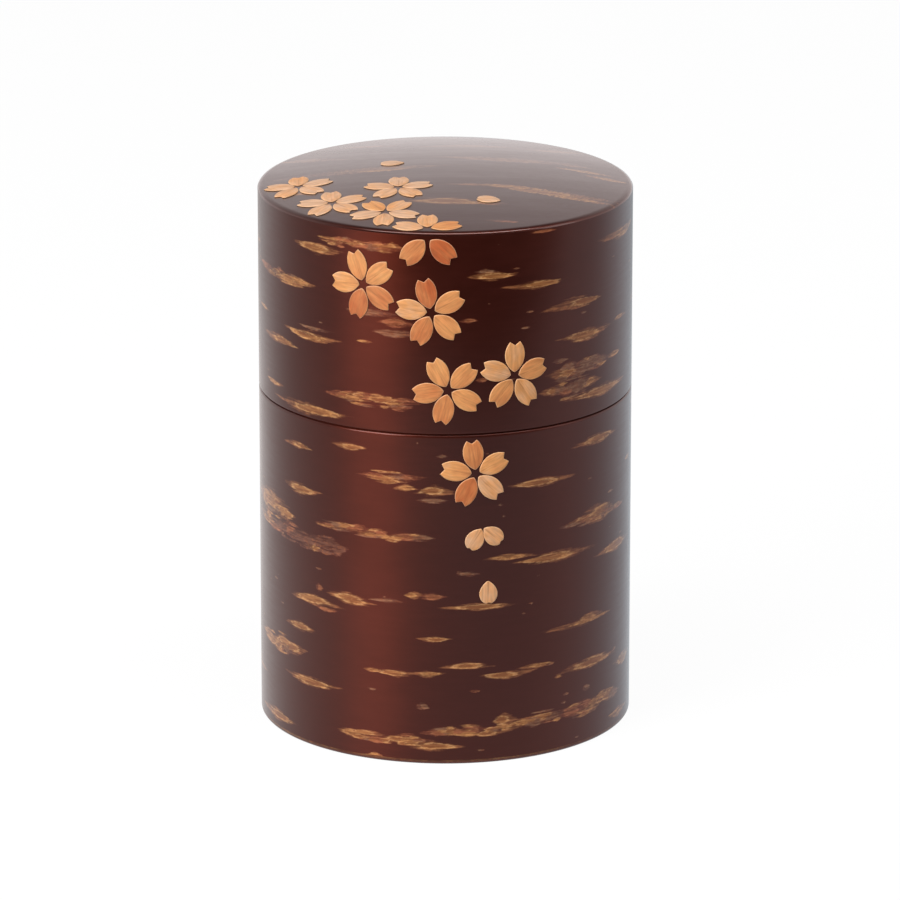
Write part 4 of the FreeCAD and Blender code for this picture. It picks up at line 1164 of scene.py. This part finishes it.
# pool of mirrored light: ramps over metres from the caddy's axis
POOL_LEVEL, POOL_BEHIND = 0.62, 1.4
FRONT_SLANT = -0.45
FRONT_EDGE, FRONT_BRIGHT = (-0.42, -0.27, 0.04, 1.0), (-0.30, -0.10, 1.35, 1.0)
BACK_RISE = (0.04, 0.28, POOL_LEVEL, POOL_BEHIND * POOL_LEVEL)
SIDE_FALL, RIGHT_RISE = (-0.12, 0.1, 1.06, 0.8), (0.12, 0.32, 0.0, 0.22)
AWAY_FALL, FAR_RISE = (0.06, 0.45, 1.2, 0.6), (0.4, 1.6, 0.0, 0.6)
TINT_TURN = (-0.06, 0.06)
POOL_WARM, POOL_COOL = (1.0, 0.95, 0.935, 1), (0.96, 1.03, 1.1, 1)


def light_paths(tree):
    """1 or 0 for two questions: does the camera see this, and is it seen in a mirror or through glass."""
    path = tree.nodes.new("ShaderNodeLightPath").outputs
    mirrored_too = arithmetic(tree, "MAXIMUM", path["Is Glossy Ray"], path["Is Transmission Ray"])
    return path["Is Camera Ray"], mirrored_too


corners = np.array([(-1, -1, 0), (1, -1, 0), (1, 1, 0), (-1, 1, 0)]) * FLOOR_HALF
floor = new_piece("floor", corners, [np.array([[0, 1, 2, 3]])])
floor_paper, tree, shader = new_material("floor_paper", Roughness=0.9, Specular_IOR_Level=0.0)
calc, ramp, mix, noise, _ = steps_in(tree)
place = own_place(tree)
paper_grain = noise(place, detail=3.0, scale=PAPER_SCALE)
wire(tree, shader, Base_Color=mix(paper_grain, PAPER_GREY, PAPER_PALE))
seen, mirrored_seen = light_paths(tree)
right, back, _ = parts(tree, place)
distance = tree.nodes.new("ShaderNodeVectorMath")
distance.operation = "LENGTH"
tree.links.new(place, distance.inputs[0])
slanted = calc("MULTIPLY_ADD", calc("MAXIMUM", right, 0.0), FRONT_SLANT, back)
to_front = calc("MULTIPLY", ramp(slanted, *FRONT_EDGE), ramp(slanted, *FRONT_BRIGHT))
to_side = calc("ADD", ramp(right, *SIDE_FALL), ramp(right, *RIGHT_RISE))
near_pool = calc("MULTIPLY", calc("MULTIPLY", to_front, ramp(distance.outputs["Value"], *AWAY_FALL)),
                 calc("MULTIPLY", ramp(back, *BACK_RISE), to_side))
pool = calc("MULTIPLY", calc("ADD", near_pool, ramp(back, *FAR_RISE)), mirrored_seen)
pool_tint = mix(ramp(right, *TINT_TURN), POOL_WARM, POOL_COOL)
glow = tree.nodes.new("ShaderNodeEmission")
wire(tree, glow.inputs, Strength=calc("MULTIPLY_ADD", seen, FLOOR_WHITE, pool),
     Color=mix(seen, pool_tint, PLAIN_WHITE))
glow_share = calc("ADD", calc("MULTIPLY", seen, FLOOR_GLOW), mirrored_seen)
paper = tree.nodes["Principled BSDF"].outputs[0]
both = tree.nodes.new("ShaderNodeMixShader")
for socket, source in zip(both.inputs, (glow_share, paper, glow.outputs[0])):
    tree.links.new(source, socket)
tree.links.new(both.outputs[0], tree.nodes["Material Output"].inputs["Surface"])
floor.data.materials.append(floor_paper)
print("floor with a glow for the camera and a pool for mirrors:", len(tree.nodes), "nodes")

# %% White room
ROOM_WARM, ROOM_AMBIENT = (1.06, 0.985, 0.975, 1), 0.2
# what mirrors see of it: ramps over the direction's y and z
ROOM_BACK_RISE = (-0.7, 0.1, 0.13, 1.0)
ROOM_UP_FALL, CEILING_FALL = (0.0, 0.6, 0.97, 0.53), (0.6, 0.85, 1.0, 0.1)

room = bpy.data.worlds.new("room")
room.use_nodes = True
bpy.context.scene.world = room
tree = room.node_tree
calc, ramp, mix, *_ = steps_in(tree)
seen, mirrored_seen = light_paths(tree)
_, back, up = parts(tree, tree.nodes.new("ShaderNodeTexCoord").outputs["Generated"])
overhead = calc("MULTIPLY", ramp(up, *ROOM_UP_FALL), ramp(up, *CEILING_FALL))
around = calc("MULTIPLY", ramp(back, *ROOM_BACK_RISE), overhead)
mirrored_room = ramp(mirrored_seen, 0.0, 1.0, ROOM_AMBIENT, around)
wire(tree, tree.nodes["Background"].inputs, Strength=calc("MAXIMUM", seen, mirrored_room),
     Color=mix(mirrored_seen, PLAIN_WHITE, ROOM_WARM))
print("room:", len(tree.nodes), "nodes")

# %% [markdown]
# ## Soft boxes
# A tall soft box on the left makes the red glow down the bark, a weaker one fills the right, and a large
# one from above models the petals. Seen from behind, level pieces would mirror the low box as plain
# white. So it leaves out the level bark, and the petals on the lid's top get a twin that gloss never
# shows.

# %% Soft boxes
AIM = (0.0, 0.0, 0.06)
# degrees round from the front, elevation, distance, width and height in metres, watts
TALL_BOX = (-45, 24, 1.2, 0.66, 0.9, 13.1)
FILL_BOX = (75, 30, 1.5, 0.6, 0.9, 2.4)
BOX_ABOVE = (5, 75, 1.3, 1.7, 0.4, 13.5)


def soft_box(name, degrees, elevation, distance, width, height, watts):
    """Area lamp at an angle round from the front and an elevation, turned to the caddy."""
    lamp = bpy.data.lights.new(name, "AREA")
    lamp.shape = "RECTANGLE"
    lamp.size, lamp.size_y = width, height
    lamp.energy = watts
    holder = bpy.data.objects.new(name, lamp)
    turn, tilt = math.radians(degrees), math.radians(elevation)
    away = np.array([math.sin(turn) * math.cos(tilt), -math.cos(turn) * math.cos(tilt), math.sin(tilt)])
    holder.location = np.array(AIM) + distance * away
    holder.rotation_euler = (math.pi / 2 - tilt, 0.0, turn)
    bpy.context.scene.collection.objects.link(holder)
    return holder


def choose_lit(lamp, pieces, state):
    """Let a lamp light only some pieces (INCLUDE), or all but them (EXCLUDE)."""
    chosen = bpy.data.collections.new(f"{lamp.name}_pieces")
    for piece in pieces:
        chosen.objects.link(piece)
    for entry in chosen.collection_objects:
        entry.light_linking.link_state = state
    lamp.light_linking.receiver_collection = chosen


level_petals = [piece for piece in petal_pieces if "top" in piece.name]
tall_box = soft_box("tall_box_left", *TALL_BOX)
choose_lit(tall_box, [top_skin, inner_skin, *level_petals], "EXCLUDE")
matt_box = soft_box("tall_box_left_matt", *TALL_BOX)
matt_box.visible_glossy = False
choose_lit(matt_box, level_petals, "INCLUDE")
soft_box("fill_box_right", *FILL_BOX)
soft_box("box_above", *BOX_ABOVE)

# %% [markdown]
# ## Camera
# The camera stands where the photograph was taken from: in front, 17 degrees up and 1.5 metres away. It
# could be placed by hand in the viewport, but then the outline would only nearly fit. These numbers are
# the ones at which the caddy's outline falls on the photograph's. The sensor is shifted by a few pixels,
# because the caddy is not quite in the middle of the frame.

# %% Camera at the photograph's angle
# elevation, then distance and the height it looks at, in metres
CAMERA_ELEVATION = math.radians(17.15)
CAMERA_DISTANCE = 1.5
CAMERA_TARGET_HEIGHT = 0.0585
# the frame's width, the focal length and the shift of the middle, in pixels of the photograph
FRAME_PIXELS = 900
FOCAL_PIXELS = 6960
MIDDLE_RIGHT, MIDDLE_UP = -4.7, 4.3

view = bpy.data.cameras.new("photo_camera")
view.sensor_width = 36.0
view.lens = FOCAL_PIXELS / FRAME_PIXELS * view.sensor_width
view.shift_x = -MIDDLE_RIGHT / FRAME_PIXELS
view.shift_y = -MIDDLE_UP / FRAME_PIXELS
camera = bpy.data.objects.new("photo_camera", view)
camera.location = (0.0, -CAMERA_DISTANCE * math.cos(CAMERA_ELEVATION),
                   CAMERA_TARGET_HEIGHT + CAMERA_DISTANCE * math.sin(CAMERA_ELEVATION))
camera.rotation_euler = (math.pi / 2 - CAMERA_ELEVATION, 0.0, 0.0)
bpy.context.scene.collection.objects.link(camera)
bpy.context.scene.camera = camera
bpy.context.scene.view_settings.view_transform = "Standard"
print(f"camera lens {view.lens:.1f} mm")
